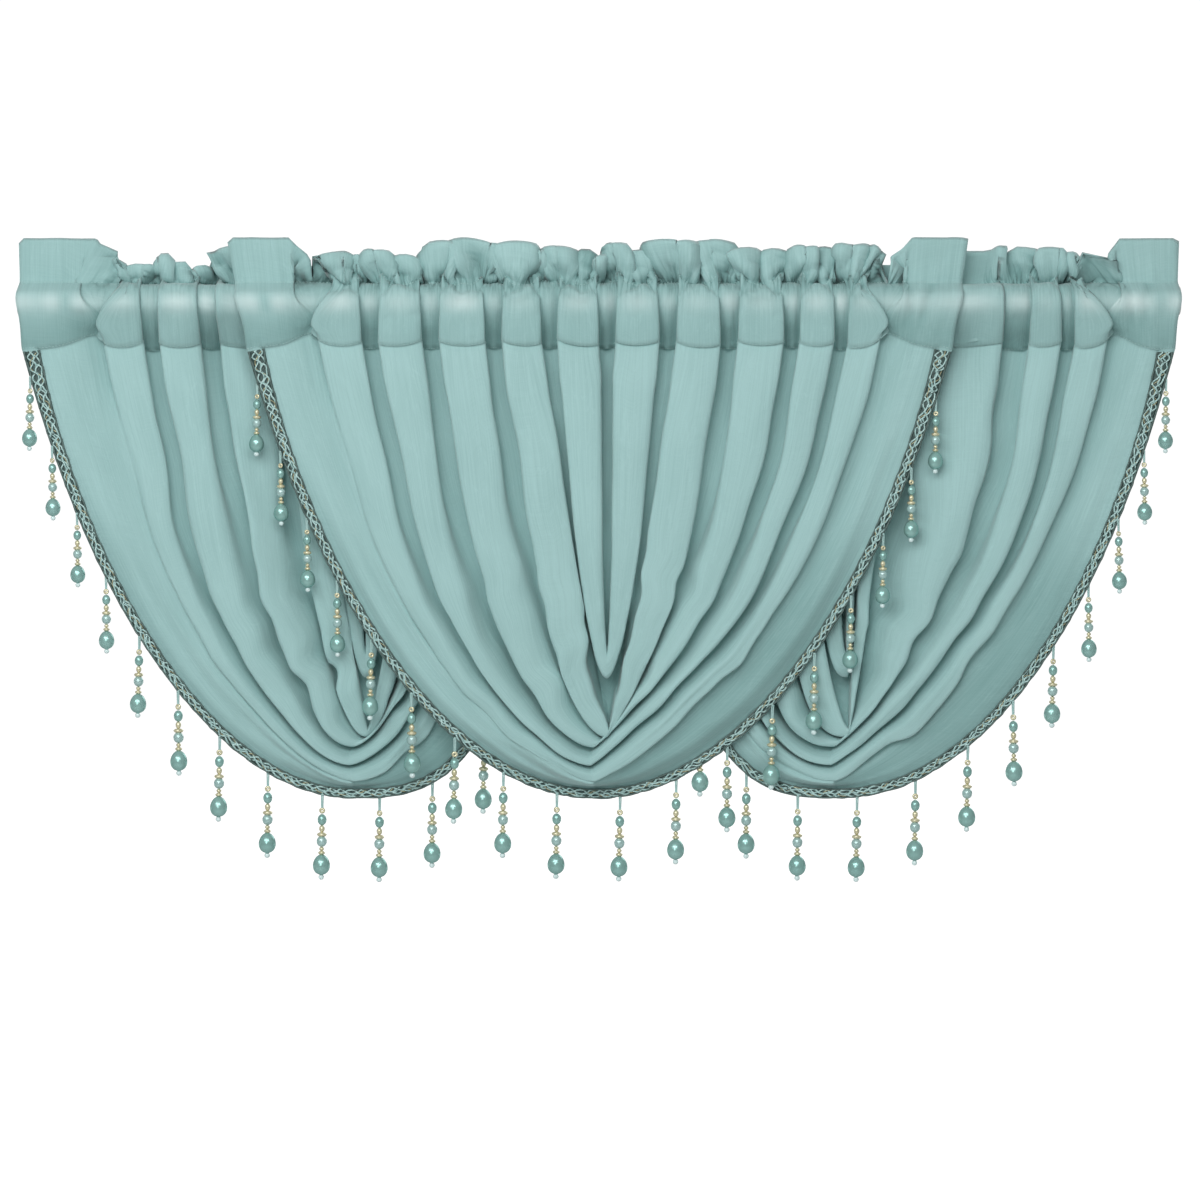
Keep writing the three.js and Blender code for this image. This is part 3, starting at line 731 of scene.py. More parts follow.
# %% [markdown]
# ### The header's two layers
# The cloth goes up behind, turns over at the top and comes down in front, so the header has two layers
# that meet at the top and at the stitches. One thicker layer would do from the front, but not from above.
# Where a box of the pocket meets the stitches its corners stand up as small ears, and every stitch draws
# the cloth in a little.

# %% Header layers
HEADER_ROWS = 13
LAYER_GAP = 0.9
STITCH_SPREAD = 0.10
PINCH = 1.5


def heading_x(half, fold, height):
    """x of a fold number at a height between the seam and the header's top."""
    panel = np.where(half.folds > PANEL, panel_part(half.folds, abs(half.seam_x[HEM] - half.seam_x[PANEL])), 0)
    at = lambda table: np.interp(np.minimum(fold, PANEL), VALLEY, table) + (table[HEM] - table[PANEL]) * panel
    notch = 17 * hill(fold, 4.72, 0.2) - 23 * hill(fold, 5.02, 0.1)
    opening = (1.7 * smooth(height, -28, STITCH_Z) - 0.7) * (1 - smooth(height, STITCH_Z, HEADER_TOP))
    notch = notch * opening * half.inward * (half.pocket_end < PANEL)
    over_end = 2.6 * hill(height, 0, 14) * smooth(fold, 5.7, HEM) * half.inward
    level = (height - SEAM_Z) / (HEADER_TOP - SEAM_Z)
    return at(half.seam_x) + (at(half.top_x) - at(half.seam_x)) * level + notch - over_end


def header_depth(half, wave, stitch_x, lobes, corner, level, stand):
    """y of the header: pinched at the stitches, then lobes that stand forward or back and ripple."""
    ruffle, row = lobes.ruffle, lobes.ruffle[:, 0]
    behind = set_back(half, stitch_x, 0)
    pucker = noise(stitch_x / 6.0, 0.5, half.seed + 4)
    stitch_y = behind - 2.5 - 5.0 * wave[:, 0] * row - 2.4 * pucker - 1.5 * (lobes.bulge - 0.6) * row
    stitch_y = stitch_y - 3.0 * corner * row
    y = stitch_y[:, None] + (behind - stitch_y - 11.0 * lobes.crest)[:, None] * stand
    y = y - 2.0 * ruffle * np.maximum(lobes.crest, 0)[:, None] * np.sin(np.pi * level)
    y = y + 7.0 * ruffle * (1 - lobes.bulge**0.6)[:, None] * hill(level, 0.18, 0.2)
    y = y - 4.0 * ruffle * noise(stitch_x[:, None] / 6.5 + level, 1.5, half.seed + 7) * (1 - level) ** 1.3
    y = y + 5.0 * ruffle * noise(stitch_x / 30, 9.5, half.seed + 11)[:, None] * level**2
    return y + 1.6 * noise(stitch_x[:, None] / 11, level * 4, half.seed + 14) * (0.3 + 0.7 * ruffle)


def header_grid(half, wave):
    """The front and the back layer of the header, each from the stitch line to the top, and their painted light and
    shade.
    """
    spread_folds = half.folds + front_spread(half.folds, wave[:, 0], STITCH_SPREAD)
    stitch_x, top_x = (heading_x(half, spread_folds, height) for height in (STITCH_Z, HEADER_TOP))
    lobes = lobe_profile(half, stitch_x, top_x)
    ruffle = lobes.ruffle
    level = np.linspace(0, 1, HEADER_ROWS + 1)
    stand = 0.3 * smooth(level, 0, 0.4) + 0.7 * level
    x = stitch_x[:, None] + ruffle * lobes.petal[:, None] * stand + (top_x - stitch_x)[:, None] * level

    off_middle = np.abs(half.folds % 1 - 0.5)
    corner = hill(off_middle, 0.24, 0.09)
    high = 8 + 5 * noise(np.floor(half.folds * 2), 5.5, half.seed + 17)
    dip = 3 * (1 - np.minimum(off_middle / 0.3, 1) ** 2)
    ears = (high * corner - dip + 2 * noise(stitch_x / 8, 3.5, half.seed + 13)) * ruffle[:, 0]
    z = (STITCH_Z + ears)[:, None] + (lobes.rise - STITCH_Z - ears)[:, None] * level

    y = header_depth(half, wave, stitch_x, lobes, corner, level, stand)
    pulled = 5.0 * np.maximum(noise(stitch_x / 7, 4.5, half.seed + 15), 0)
    y[:, 0] += (PINCH + pulled) * ruffle[:, 0]
    layer = np.where(level < 1, LAYER_GAP, 0)
    front, rear = (np.stack([x, y + sign * layer, z], 2) for sign in (-1, 1))
    # Painted light and shade: the doubled header darker than the drape, lobes that stand forward lighter, and painted
    # shade towards the stitches and in the pinches.
    painted_light = 0.5 * (1 - ruffle) - 1.0 + 0.45 * lobes.crest[:, None] - 0.8 * ruffle * (1 - level) ** 2.5
    painted_light[:, :2] -= ruffle * pulled[:, None] * (1.0, 0.5)
    return front, rear, painted_light, lobes.flat


print("header:", HEADER_TOP - STITCH_Z, "mm high, in", HEADER_ROWS, "rows")

# %% [markdown]
# ### Letting the ruffle find its own shape
# The lobes above are only a start. The real cloth is gathered at the stitches and wants its full width
# again above them, so it buckles. Blender's cloth could do this too, with less say over the result. Here
# a sheet pinned along the stitch line is pulled towards its own widths and heights, a little at a time,
# until the lobes lean, curl and crowd each other.

# %% Relaxing a sheet
ROUNDS = 240
BEND = 0.008
PULL = 0.25


def relax(points, widths, heights, loose):
    """Moves the loose points until neighbours are as far apart as in the flat cloth."""
    slanted = np.hypot((widths[:, 1:] + widths[:, :-1]) / 2, (heights[1:] + heights[:-1]) / 2)
    every, first, last = slice(None), slice(None, -1), slice(1, None)
    threads = (
        ((first, every), (last, every), widths),
        ((every, first), (every, last), heights),
        ((first, first), (last, last), slanted),
        ((first, last), (last, first), slanted),
    )
    for _ in range(ROUNDS):
        for a, b, rest in threads:
            gap = points[b] - points[a]
            length = np.maximum(np.linalg.norm(gap, axis=2), 1e-6)
            pull = gap * (PULL * (1 - rest / length))[:, :, None]
            points[a] += pull * loose[a]
            points[b] -= pull * loose[b]
        points[1:-1] += BEND * ((points[2:] + points[:-2]) / 2 - points[1:-1]) * loose[1:-1]
        points[:, 1:-1] += BEND * ((points[:, 2:] + points[:, :-2]) / 2 - points[:, 1:-1]) * loose[:, 1:-1]
    return points


print("relaxing takes", ROUNDS, "rounds")

# %% [markdown]
# The sheet to relax lies half-way between the header's two layers. It gets a random ripple first, since
# a flat sheet would not know which way to buckle. Afterwards creases are pressed into it, the two layers
# are set apart along its normals, and the hollows are darkened, because little light gets into them.

# %% Ruffle
POCKET_ROWS, BACK_ROWS = 19, 6
TOP_ROW = BACK_ROWS + HEADER_ROWS
STITCH_ROW = TOP_ROW + HEADER_ROWS
SEAM_ROW = STITCH_ROW + POCKET_ROWS
REAR_LAYER, FRONT_LAYER = slice(BACK_ROWS, TOP_ROW + 1), slice(STITCH_ROW, TOP_ROW - 1, -1)
FULLNESS = 1.3
REAR_LIMIT = 36
HOLLOW_SHADE_LIMITS = (-1.5, 4.5)


def creased_ruffle(points, level, free, start_x, seed):
    """Sways the relaxed ruffle and presses fine and broad creases into it."""
    sway = 9 * noise(start_x / 21, 6.5, seed) + 4 * noise(start_x / 9, 2.5, seed + 1)
    points[:, :, 0] += free * sway * level**1.3
    slant = 2.4 * noise(start_x / 35, 0.5, seed + 4) * level
    fine = 2.6 * ridged(start_x / 4.6 + slant / 2, 1.5 * level, seed + 2) * (1 - smooth(level, 0.15, 0.6))
    broad = 5.0 * ridged(start_x / 9 + slant, 1.2 * level, seed + 3) * (1 - 0.7 * smooth(level, 0.4, 1))
    points[:, :, 1] += free * (fine + broad) * smooth(level, 0, 0.1)


def set_apart(sheet, points, level, free):
    """Puts the header's two layers on either side of the relaxed sheet; they meet at the top."""
    normals = np.cross(np.gradient(points, axis=0), np.gradient(points, axis=1))
    normals /= np.maximum(np.linalg.norm(normals, axis=2, keepdims=True), 1e-9)
    puff = LAYER_GAP + 0.3 * np.sin(np.pi * level) * free
    puff[:, -1] = 0
    for rows, sign in ((REAR_LAYER, -1), (FRONT_LAYER, 1)):
        sheet[:, rows][:, 1:] = (points + sign * normals * puff[:, :, None])[:, 1:]


def painted_hollow_shade(points):
    """How much painted shade a point gets that lies behind its neighbours."""
    around = np.pad(points[:, :, 1], ((BLUR, BLUR), (2, 2)), "edge")
    hills = np.lib.stride_tricks.sliding_window_view(around, (2 * BLUR + 1, 5)).mean((2, 3))
    return np.clip((points[:, :, 1] - hills) * 1.2, *HOLLOW_SHADE_LIMITS)


def ruffle_header(sheet, painted_light, flat, seed):
    """Relaxes the header of a whole swag, sets its two layers apart again and paints shade into its hollows."""
    points = (sheet[:, REAR_LAYER] + sheet[:, FRONT_LAYER]) / 2
    level = np.linspace(0, 1, HEADER_ROWS + 1)
    free = np.maximum(2 * blur(~flat) - 1, 0)[:, None]
    gathered = np.abs(np.diff(points[:, 0, 0]))[:, None]
    widths = gathered * (1 + FULLNESS * (0.5 * smooth(level, 0, 0.3) + 0.5 * level) * free[1:])
    heights = np.diff(points[:, :, 2], axis=1) * 1.04
    loose = np.repeat(free[:, :, None], len(level), 1)
    loose[:, 0] = 0
    start_x = points[:, :1, 0].copy()
    ripple = 4.0 * noise(start_x / 6, 2 * level, seed + 5) + 9.0 * noise(start_x / 9 + level, 0.7 * level, seed + 6)
    points[:, :, 1] += free * ripple * smooth(level, 0, 0.15)
    points = relax(points, widths, heights, loose)
    points[:, :, 1] = np.minimum(points[:, :, 1], REAR_LIMIT)
    creased_ruffle(points, level, free, start_x, seed)
    set_apart(sheet, points, level, free)
    for rows in (REAR_LAYER, FRONT_LAYER):
        painted_light[:, rows] -= painted_hollow_shade(points) * free


print("stitches in row", STITCH_ROW, "and seam in row", SEAM_ROW)

# %% [markdown]
# ### The pocket
# Between the stitch line and the seam the cloth goes over the rod in front and the turned-back layer
# goes behind it. In a valley the cloth is tight on the rod and dives away below it; on a ridge it stands
# off as a box. Each column is a string pulled over a circle: a shrink-wrap would give the tight places
# but not the slack ones. The lower edge of the pocket stands a little proud of the drape.

# %% Pocket layers
FRONT_RADIUS, REAR_RADIUS = 15.2, 15.6
OUTER_FRONT, OUTER_REAR = 25.5, 27.2  # where a swag has no pocket and passes behind the rod
ARC_POINTS = 25


def over_rod(start, end, radius, side, swell, count):
    """Points in the YZ plane from start over the rod to end, swollen outwards; the last is end."""
    turn = lambda p: math.atan2(side * p[0], p[1])
    slack = lambda p: math.acos(min(1, radius / math.hypot(*p)))
    last = turn(end) + (2 * math.pi if turn(end) < 0 else 0)
    first = turn(start) + slack(start)
    last = max(last - slack(end), first + 0.02)
    share = np.linspace(0, 1, ARC_POINTS)
    reach = radius + swell * (0.3 + 0.7 * smooth(share, 0.05, 0.6))
    angle = first + (last - first) * share
    path = np.vstack([start, np.column_stack([side * reach * np.sin(angle), reach * np.cos(angle)]), end])
    run = np.append(0, np.cumsum(np.hypot(*np.diff(path, axis=0).T)))
    places = np.linspace(0, run[-1], count + 1)[1:]
    return np.column_stack([np.interp(places, run, path[:, 0]), np.interp(places, run, path[:, 1])])


def pocket_layers(half, front_header, rear_header, drape, ridge):
    """y and z of the layer in front of the rod and of the one behind it."""
    front, rear = [], []
    for i, tunnel in enumerate(half.tunnel):
        start, end, start_back = front_header[i, 0, 1:], drape[i, 0, 1:], rear_header[i, 0, 1:]
        raw_edge = end + (4.0 if half.back else 1.6, 1.0)
        side, near, far = (-1, FRONT_RADIUS, REAR_RADIUS) if tunnel else (1, OUTER_FRONT, OUTER_REAR)
        swell, swell_back = (7 * ridge[i], 3 * (1 - ridge[i])) if tunnel else (0, 0)
        front.append(over_rod(start, end, near, side, swell, POCKET_ROWS))
        rear.append(over_rod(start_back, raw_edge, far, 1, swell_back, BACK_ROWS))
    return np.array(front), np.array(rear)


print("pocket:", STITCH_Z - SEAM_Z, "mm from stitches to seam")

# %% [markdown]
# ### Creases and shine of the pocket
# Short creases fan out under the stitches, some boxes sag in a smile, the gaps puff out in tongues, and
# the flat tabs have an edge of their own; creases, smiles and the tab's edge are darkened with painted
# shade. Where the cloth is tight on the rod it gets a painted highlight and a smoother gloss. A bump map
# could draw the creases, but real ones show in the outline too, so they are pressed into the points.

# %% Creases and shine of the pocket
SEAM_SPREAD = 0.18


def pocket_creases(half, stitch_x, share):
    """Depth of the creases, and the painted shade in them."""
    folds, column = half.folds, half.folds[:, None]
    rays = stitch_x[:, None] / 6.5 + 3 * share * noise(stitch_x / 25, 2.5, half.seed + 19)[:, None]
    gathers = 3.6 * ridged(rays, 2.5 * share, half.seed + 8) * np.exp(-share * 4.0) * (column < PANEL)
    across = ((folds % 1 - 0.5) / 0.3)[:, None]
    sagging = np.maximum(noise(np.floor(folds), 8.5, half.seed + 18) + 0.4, 0)[:, None]
    sagging = sagging * (np.abs(across) < 1) * (column < PANEL)
    smile = 2.2 * sagging * np.exp(-np.abs(share - 0.10 - 0.28 * (1 - across**2)) / 0.07)
    on_tab = half.pocket_end < PANEL
    bends = hill(column, 5.20 + 0.12 * np.sin(np.pi * share), 0.05) + hill(column, 5.62 - 0.22 * share, 0.06)
    bends = bends * 2.4 * half.number * (1 - smooth(share, 0.5, 0.9)) * on_tab
    tab_edge = hill(column, 5.04, 0.035) * (1 - smooth(share, 0.55, 0.85)) * on_tab
    painted_crease_shade = 1.3 * np.maximum(gathers - 0.6, 0) + 1.2 * smile + 3.5 * tab_edge + 1.5 * bends
    return gathers + smile + bends, painted_crease_shade


def pocket_bulges(half, stitch_x, share, ridge):
    """How far the front layer stands off: dents, the turned lower edge and tongues in the gaps."""
    folds, column = half.folds, half.folds[:, None]
    gap = np.abs((folds + 0.5) % 1 - 0.5)[:, None]
    slack = 6.0 + 3.0 * noise(np.round(folds), 6.5, half.seed + 16)[:, None]
    tongue = slack * np.sqrt(np.clip(1 - gap / (0.13 * (1 - share) + 0.001), 0, 1)) * (column < 4.6)
    dents = 1.8 * noise(stitch_x[:, None] / 12, share * 4, half.seed + 9) * np.sin(np.pi * share)
    edge = 1.4 * hill(share, 0.9, 0.1) * ridge[:, None]
    return np.abs(dents) + edge + tongue


def rod_shine(half, stitch_x, height):
    """Where the front layer lies on the rod and gets a painted highlight: in patches on boxes and gaps, and along the
    tabs.
    """
    folds = half.folds
    middles = hill(folds % 1, 0.5, 0.17) + hill((folds + 0.5) % 1, 0.5, 0.1)
    patches = middles * (0.48 + 0.40 * noise(np.round(folds * 2), 4.5, half.seed + 10))
    on_tabs = 0.40 + 0.45 * noise(stitch_x / 14, 4.5, half.seed + 10)
    strength = np.where(folds > PANEL, on_tabs, patches) * half.tunnel
    return np.clip(hill(height, -3, 8.5) * strength[:, None], 0, 1)


def pocket_grid(half, front_header, rear_header, drape, wave):
    """The layer in front of the rod, the one behind it, the front's painted highlight and the painted shade in its
    creases.
    """
    folds, column = half.folds, half.folds[:, None]
    ridge = np.where(folds > PANEL, 0.9 * smooth(folds, 5.04, 5.12), (1 + wave[:, 0]) / 2)
    if half.pocket_end > 0:
        ridge = ridge * smooth(folds, half.pocket_end - 0.05, half.pocket_end + 0.3)
    front, rear = pocket_layers(half, front_header, rear_header, drape, ridge)
    share = np.linspace(0, 1, POCKET_ROWS + 1)[1:]
    spread = front_spread(column, wave[:, :1], STITCH_SPREAD + (SEAM_SPREAD - STITCH_SPREAD) * share)
    x = np.stack([heading_x(half, (column + spread)[:, k], front[:, k, 1]) for k in range(POCKET_ROWS)], 1)
    x = x + (drape[:, :1, 0] - x[:, -1:]) * smooth(share, 0.75, 1.0)
    rear_x = np.stack([heading_x(half, folds, rear[:, k, 1]) for k in range(BACK_ROWS)], 1)
    stitch_x = heading_x(half, folds, STITCH_Z)
    creases, painted_crease_shade = pocket_creases(half, stitch_x, share)
    y = front[:, :, 0] - (pocket_bulges(half, stitch_x, share, ridge) - creases) * half.tunnel[:, None]
    shine = rod_shine(half, stitch_x, front[:, :, 1])
    return np.stack([x, y, front[:, :, 1]], 2), np.dstack([rear_x, rear]), shine, painted_crease_shade


def pocket_lip(half, pocket, drape):
    """Lets the pocket's lower edge stand proud of the drape under it."""
    proud = ((half.folds < BAND_START) & half.tunnel) * 1.0
    pocket[:, -1] += proud[:, None] * (0, -1.2, -1.4)
    for row, depth in ((1, 1.7), (2, 1.2), (3, 0.5)):
        drape[:, row, 1] += proud * depth


print("rows over the rod:", POCKET_ROWS)

# %% [markdown]
# ### One sheet for a whole swag
# The real panel is one piece of cloth. It starts as a raw edge at the back of the seam, goes up behind
# the rod, turns over at the top of the header, comes down in front and drapes to the hem. The grid
# below follows that way row by row, with one column for each step across the folds. Pieces modelled
# apart would be easier to shape, but would show a gap or a step at each seam.

# %% Halves of a swag
def new_half(name, number):
    """Everything that is known about one half of a swag before it is shaped."""
    bottom_x, back, per_fold, halves = SWAGS[name]
    heading, fullness, pocket_end = halves[number]
    top_x, seam_x = HEADINGS[heading]
    hidden = heading.endswith("hidden")
    edge = np.linspace(PANEL, 5.16, 5, endpoint=False)
    panel = np.linspace(5.16, BAND_START, per_fold // 2 - 1, endpoint=False)
    band = np.linspace(BAND_START, HEM, 4)
    folds = np.concatenate([np.arange(PANEL * per_fold) / per_fold, edge, panel, band])
    shares = drape_shares()
    return SimpleNamespace(
        name=name, number=number, bottom_x=bottom_x, back=back, folds=folds, shares=shares, top_x=top_x, seam_x=seam_x,
        fullness=fullness, pocket_end=pocket_end, tunnel=folds >= pocket_end, inward=np.sign(seam_x[0] - seam_x[HEM]),
        fade=1 - smooth(shares, 0.9, 1),  # calm at the lowest point, where the halves meet
        recess=0 if back else 18,  # depth of the slot below the shortest loop
        merge=0.9 * (number == 0),  # how far a left half's last fold melts into its panel
        curl=14 if back else 22,  # how far the panel curls towards the wall
        curl_start=0.25 if number else 0.35 if back and not hidden else 0.7,  # and from which share on
        seed=100 * number + len(name),
    )


def half_painted_light(half, wave, header_painted_light, painted_crease_shade):
    """Painted light and shade of every point: lighter ridges and lip edges, and painted shade in the valleys, creases,
    on the underside of the pocket, in the gaps and the hollows.
    """
    column = half.folds[:, None]
    # A painted highlight along the edge of each lip, and painted shade in the slot under the shortest loop.
    lip_highlight_and_shade = 1.2 * hill(column % 1, 0.79, 0.035) * (column < PANEL)
    lip_highlight_and_shade = lip_highlight_and_shade - 1.5 * hill(column, 1, 0.15) * smooth(half.shares, 0.7, 0.9)
    # Painted light and shade on the pocket: lighter boxes, a darker doubled pocket, and painted shade in its creases,
    # on its underside, by the tabs and in the gaps.
    pocket = np.repeat(wave[:, :1] * 0.9 - 1.3, POCKET_ROWS, 1) - painted_crease_shade
    under = smooth(np.linspace(0, 1, POCKET_ROWS), 0.45, 0.85)
    gap = (1 - wave[:, :1]) / 2 * (column < PANEL)
    pocket = pocket - (1.0 + 2.0 * smooth(column, 4.9, 5.1) + 3.0 * gap) * under
    # A painted highlight along the pocket's lower edge.
    pocket[:, -1] += 1.2
    turned, drape = np.zeros((len(column), BACK_ROWS)), (wave + lip_highlight_and_shade)[:, 1:]
    painted_light = np.concatenate([turned, header_painted_light, header_painted_light[:, -2::-1], pocket, drape], 1)
    # Painted shade on the right halves' outer panel, in the slots and on the left halves' curled rim.
    painted_light[:, SEAM_ROW:] -= 4.4 * half.shade * half.number + 2.2 * half.slot + 2.6 * half.rim * (1 - half.number)
    return painted_light


def half_grid(half):
    """The points of one half, with the attributes that its material reads."""
    drape, wave = drape_grid(half)
    front, rear, header_painted_light, flat = header_grid(half, wave)
    pocket, turned, shine, painted_crease_shade = pocket_grid(half, front, rear, drape, wave)
    pocket_lip(half, pocket, drape)
    sheet = np.concatenate([turned[:, ::-1], rear, front[:, -2::-1], pocket, drape[:, 1:]], 1)
    painted_light = half_painted_light(half, wave, header_painted_light, painted_crease_shade)
    taut, pucker = np.zeros(painted_light.shape), np.zeros(painted_light.shape)
    taut[:, STITCH_ROW + 1 : SEAM_ROW + 1] = shine
    rows = np.arange(TOP_ROW, SEAM_ROW)
    # The pucker attribute puts bumps and painted shade by the stitches.
    pucker[:, rows] = np.exp(-np.abs(rows - STITCH_ROW) / 5) * ~flat[:, None]
    return {"sheet": sheet, "fold": painted_light, "taut": taut, "pucker": pucker, "tunnel": half.tunnel, "flat": flat}


def swag_grid(name):
    """Both halves side by side, from one end of the heading to the other, with the header relaxed."""
    sides = [half_grid(new_half(name, number)) for number in (0, 1)]
    grid = {key: np.concatenate([sides[0][key][::-1], sides[1][key][1:]]) for key in sides[0]}
    ruffle_header(grid["sheet"], grid["fold"], grid["flat"], 40 + len(name))
    return grid


grids = {name: swag_grid(name) for name in SWAGS}
print("columns and rows:", {name: grid["sheet"].shape[:2] for name, grid in grids.items()})

# %% [markdown]
# ### From a grid to cloth with two sides
# The grid is the middle of the cloth. Each point moves half a thickness along its normal to either
# side, the two skins are joined along every edge, and the loops' lowest row is shared by both halves. A
# Solidify modifier would thicken an even sheet as well, but the same normals are needed again below, to
# lay stitches and braid on the cloth.

# %% Two skins
THICKNESS = 1.1


def grid_faces(grid):
    """The four corners of each face. No face spans the step where an outer swag's pocket ends."""
    columns, rows = grid["sheet"].shape[:2]
    index = np.arange(columns * rows).reshape(columns, rows)
    index[columns // 2 + 1 :, -1] = index[: columns // 2, -1][::-1]
    j, i = np.meshgrid(np.arange(columns - 1), np.arange(rows - 1), indexing="ij")
    torn = (grid["tunnel"][:-1] != grid["tunnel"][1:])[:, None] & (i >= STITCH_ROW) & (i < SEAM_ROW)
    j, i = j[~torn], i[~torn]
    corners = ((j, i), (j, i + 1), (j + 1, i + 1), (j + 1, i))
    return np.stack([index[corner] for corner in corners], 1)


def point_normals(points, quads):
    """The direction out of the cloth at every point, from the faces around it."""
    diagonal = np.cross(points[quads[:, 2]] - points[quads[:, 0]], points[quads[:, 3]] - points[quads[:, 1]])
    normals = np.zeros_like(points)
    for k in range(4):
        np.add.at(normals, quads[:, k], diagonal)
    return normals / np.maximum(np.linalg.norm(normals, axis=1, keepdims=True), 1e-9)


def thick_sheet(grid):
    """Points and faces of both skins and the rim between them, and the normals of the middle."""
    points, quads = grid["sheet"].reshape(-1, 3), grid_faces(grid)
    normals = point_normals(points, quads)
    count = len(points)
    edges = np.concatenate([quads[:, [k, (k + 1) % 4]] for k in range(4)])
    shared = np.isin(edges[:, 0] * count + edges[:, 1], edges[:, 1] * count + edges[:, 0])
    start, end = edges[~shared].T
    rim = np.column_stack([end, start, start + count, end + count])
    faces = np.concatenate([quads, quads[:, ::-1] + count, rim])
    both = np.concatenate([points + normals * THICKNESS / 2, points - normals * THICKNESS / 2])
    return both, faces, normals


print("cloth:", THICKNESS, "mm thick")

# %% [markdown]
# The threads of the material should run as they do in the flat panel. Unwrapping the folds could only
# guess at that; lengths measured along the rows and columns of the grid are the flat panel itself, so
# they become the UV map.

# %% Cloth meshes
def cloth_lengths(sheet):
    """Distance across the columns at the seam, and down each column."""
    across = np.append(0, np.cumsum(np.linalg.norm(np.diff(sheet[:, SEAM_ROW], axis=0), axis=1)))
    down = np.cumsum(np.linalg.norm(np.diff(sheet, axis=1), axis=2), 1)
    return np.repeat(across[:, None], sheet.shape[1], 1), np.concatenate([np.zeros((len(sheet), 1)), down], 1)


def mesh_piece(name, points, faces, material):
    """A smooth mesh object from points in millimetres."""
    mesh = bpy.data.meshes.new(name)
    mesh.from_pydata((np.asarray(points) * MM).tolist(), [], np.asarray(faces).tolist())
    mesh.materials.append(material)
    mesh.shade_smooth()
    piece = bpy.data.objects.new(name, mesh)
    scene.collection.objects.link(piece)
    return piece


def cloth_piece(name, grid):
    """A swag as a mesh, with its flat UV map and the attributes that its material reads."""
    points, faces, normals = thick_sheet(grid)
    used = np.unique(faces)
    renumber = np.zeros(len(points), int)
    renumber[used] = np.arange(len(used))
    piece = mesh_piece(f"cloth_{name}", points[used], renumber[faces], cloth_material)
    across, down = cloth_lengths(grid["sheet"])
    flat = np.tile(np.stack([across.ravel(), down.ravel()], 1) * MM, (2, 1))[used]
    corner = np.zeros(len(piece.data.loops), int)
    piece.data.loops.foreach_get("vertex_index", corner)
    layer = piece.data.uv_layers.new(name="cloth")
    layer.uv.foreach_set("vector", flat[corner].ravel())
    for key in ("fold", "taut", "pucker"):
        values = piece.data.attributes.new(key, "FLOAT", "POINT")
        values.data.foreach_set("value", np.tile(grid[key].ravel(), 2)[used])
    grid["normals"] = normals.reshape(grid["sheet"].shape)
    return piece


cloths = {name: cloth_piece(name, grids[name]) for name in SWAGS}
for name, piece in cloths.items():
    print(piece.name, len(piece.data.polygons), "faces")

# %% [markdown]
# ## Geometry Nodes helpers
# What repeats is made by Geometry Nodes. Array modifiers or particles could repeat a bead too, but a
# small tree takes a path or a set of points, has its sizes as named inputs, and can be opened and
# changed afterwards. Its result is kept as a plain mesh.

# %% Making a tree
TUBE_SIDES = 6


def new_tree(name, sizes):
    """An empty tree with a geometry and some sizes as inputs: a wire to build with, and the inputs."""
    tree = bpy.data.node_groups.new(name, "GeometryNodeTree")
    tree.interface.new_socket("Geometry", in_out="INPUT", socket_type="NodeSocketGeometry")
    for size in sizes:
        tree.interface.new_socket(size, in_out="INPUT", socket_type="NodeSocketFloat")
    tree.interface.new_socket("Geometry", in_out="OUTPUT", socket_type="NodeSocketGeometry")
    group = tree.nodes.new("NodeGroupInput")
    return Wire(tree), {socket.name: Wire(tree, socket) for socket in group.outputs if socket.name}


def named(wires, name, kind):
    """An attribute of the points."""
    return wires.node("GeometryNodeInputNamedAttribute", {"data_type": kind}, {"Name": name})


def vector(wires, operation, a, b):
    """A Vector Math node; SCALE takes a number as its second value."""
    slot = "Scale" if operation == "SCALE" else 1
    return wires.node("ShaderNodeVectorMath", {"operation": operation}, {0: a, slot: b})


def tube(wires, curve, radius, caps=False):
    """A round tube along a curve."""
    ring = wires.node("GeometryNodeCurvePrimitiveCircle", None, {"Resolution": TUBE_SIDES, "Radius": radius})
    return wires.node("GeometryNodeCurveToMesh", None, {"Curve": curve, "Profile Curve": ring, "Fill Caps": caps})


def finished(wires, geometry, finish):
    """Instances made real, with their material."""
    real = wires.node("GeometryNodeRealizeInstances", None, {0: geometry})
    return wires.node("GeometryNodeSetMaterial", None, {"Geometry": real, "Material": MATERIALS[finish]})


def finish_tree(wires, parts):
    """Joins the finished parts and sends them out of the tree."""
    joined = wires.node("GeometryNodeJoinGeometry", None, {0: parts})
    joined.feed(wires.tree.nodes.new("NodeGroupOutput"), 0)
    print("tree:", wires.tree.name, "with", len(wires.tree.nodes), "nodes")
    return wires.tree


print("tubes have", TUBE_SIDES, "sides")

# %% Running a tree
def path_object(name, points, values):
    """A mesh of points joined in a line, with named numbers or vectors at its points."""
    mesh = bpy.data.meshes.new(name)
    edges = [(i, i + 1) for i in range(len(points) - 1)]
    mesh.from_pydata((np.asarray(points) * MM).tolist(), edges, [])
    for key, row in values.items():
        kind, slot = ("FLOAT", "value") if np.ndim(row) == 1 else ("FLOAT_VECTOR", "vector")
        layer = mesh.attributes.new(key, kind, "POINT")
        layer.data.foreach_set(slot, np.asarray(row, float).ravel())
    source = bpy.data.objects.new(name, mesh)
    scene.collection.objects.link(source)
    return source


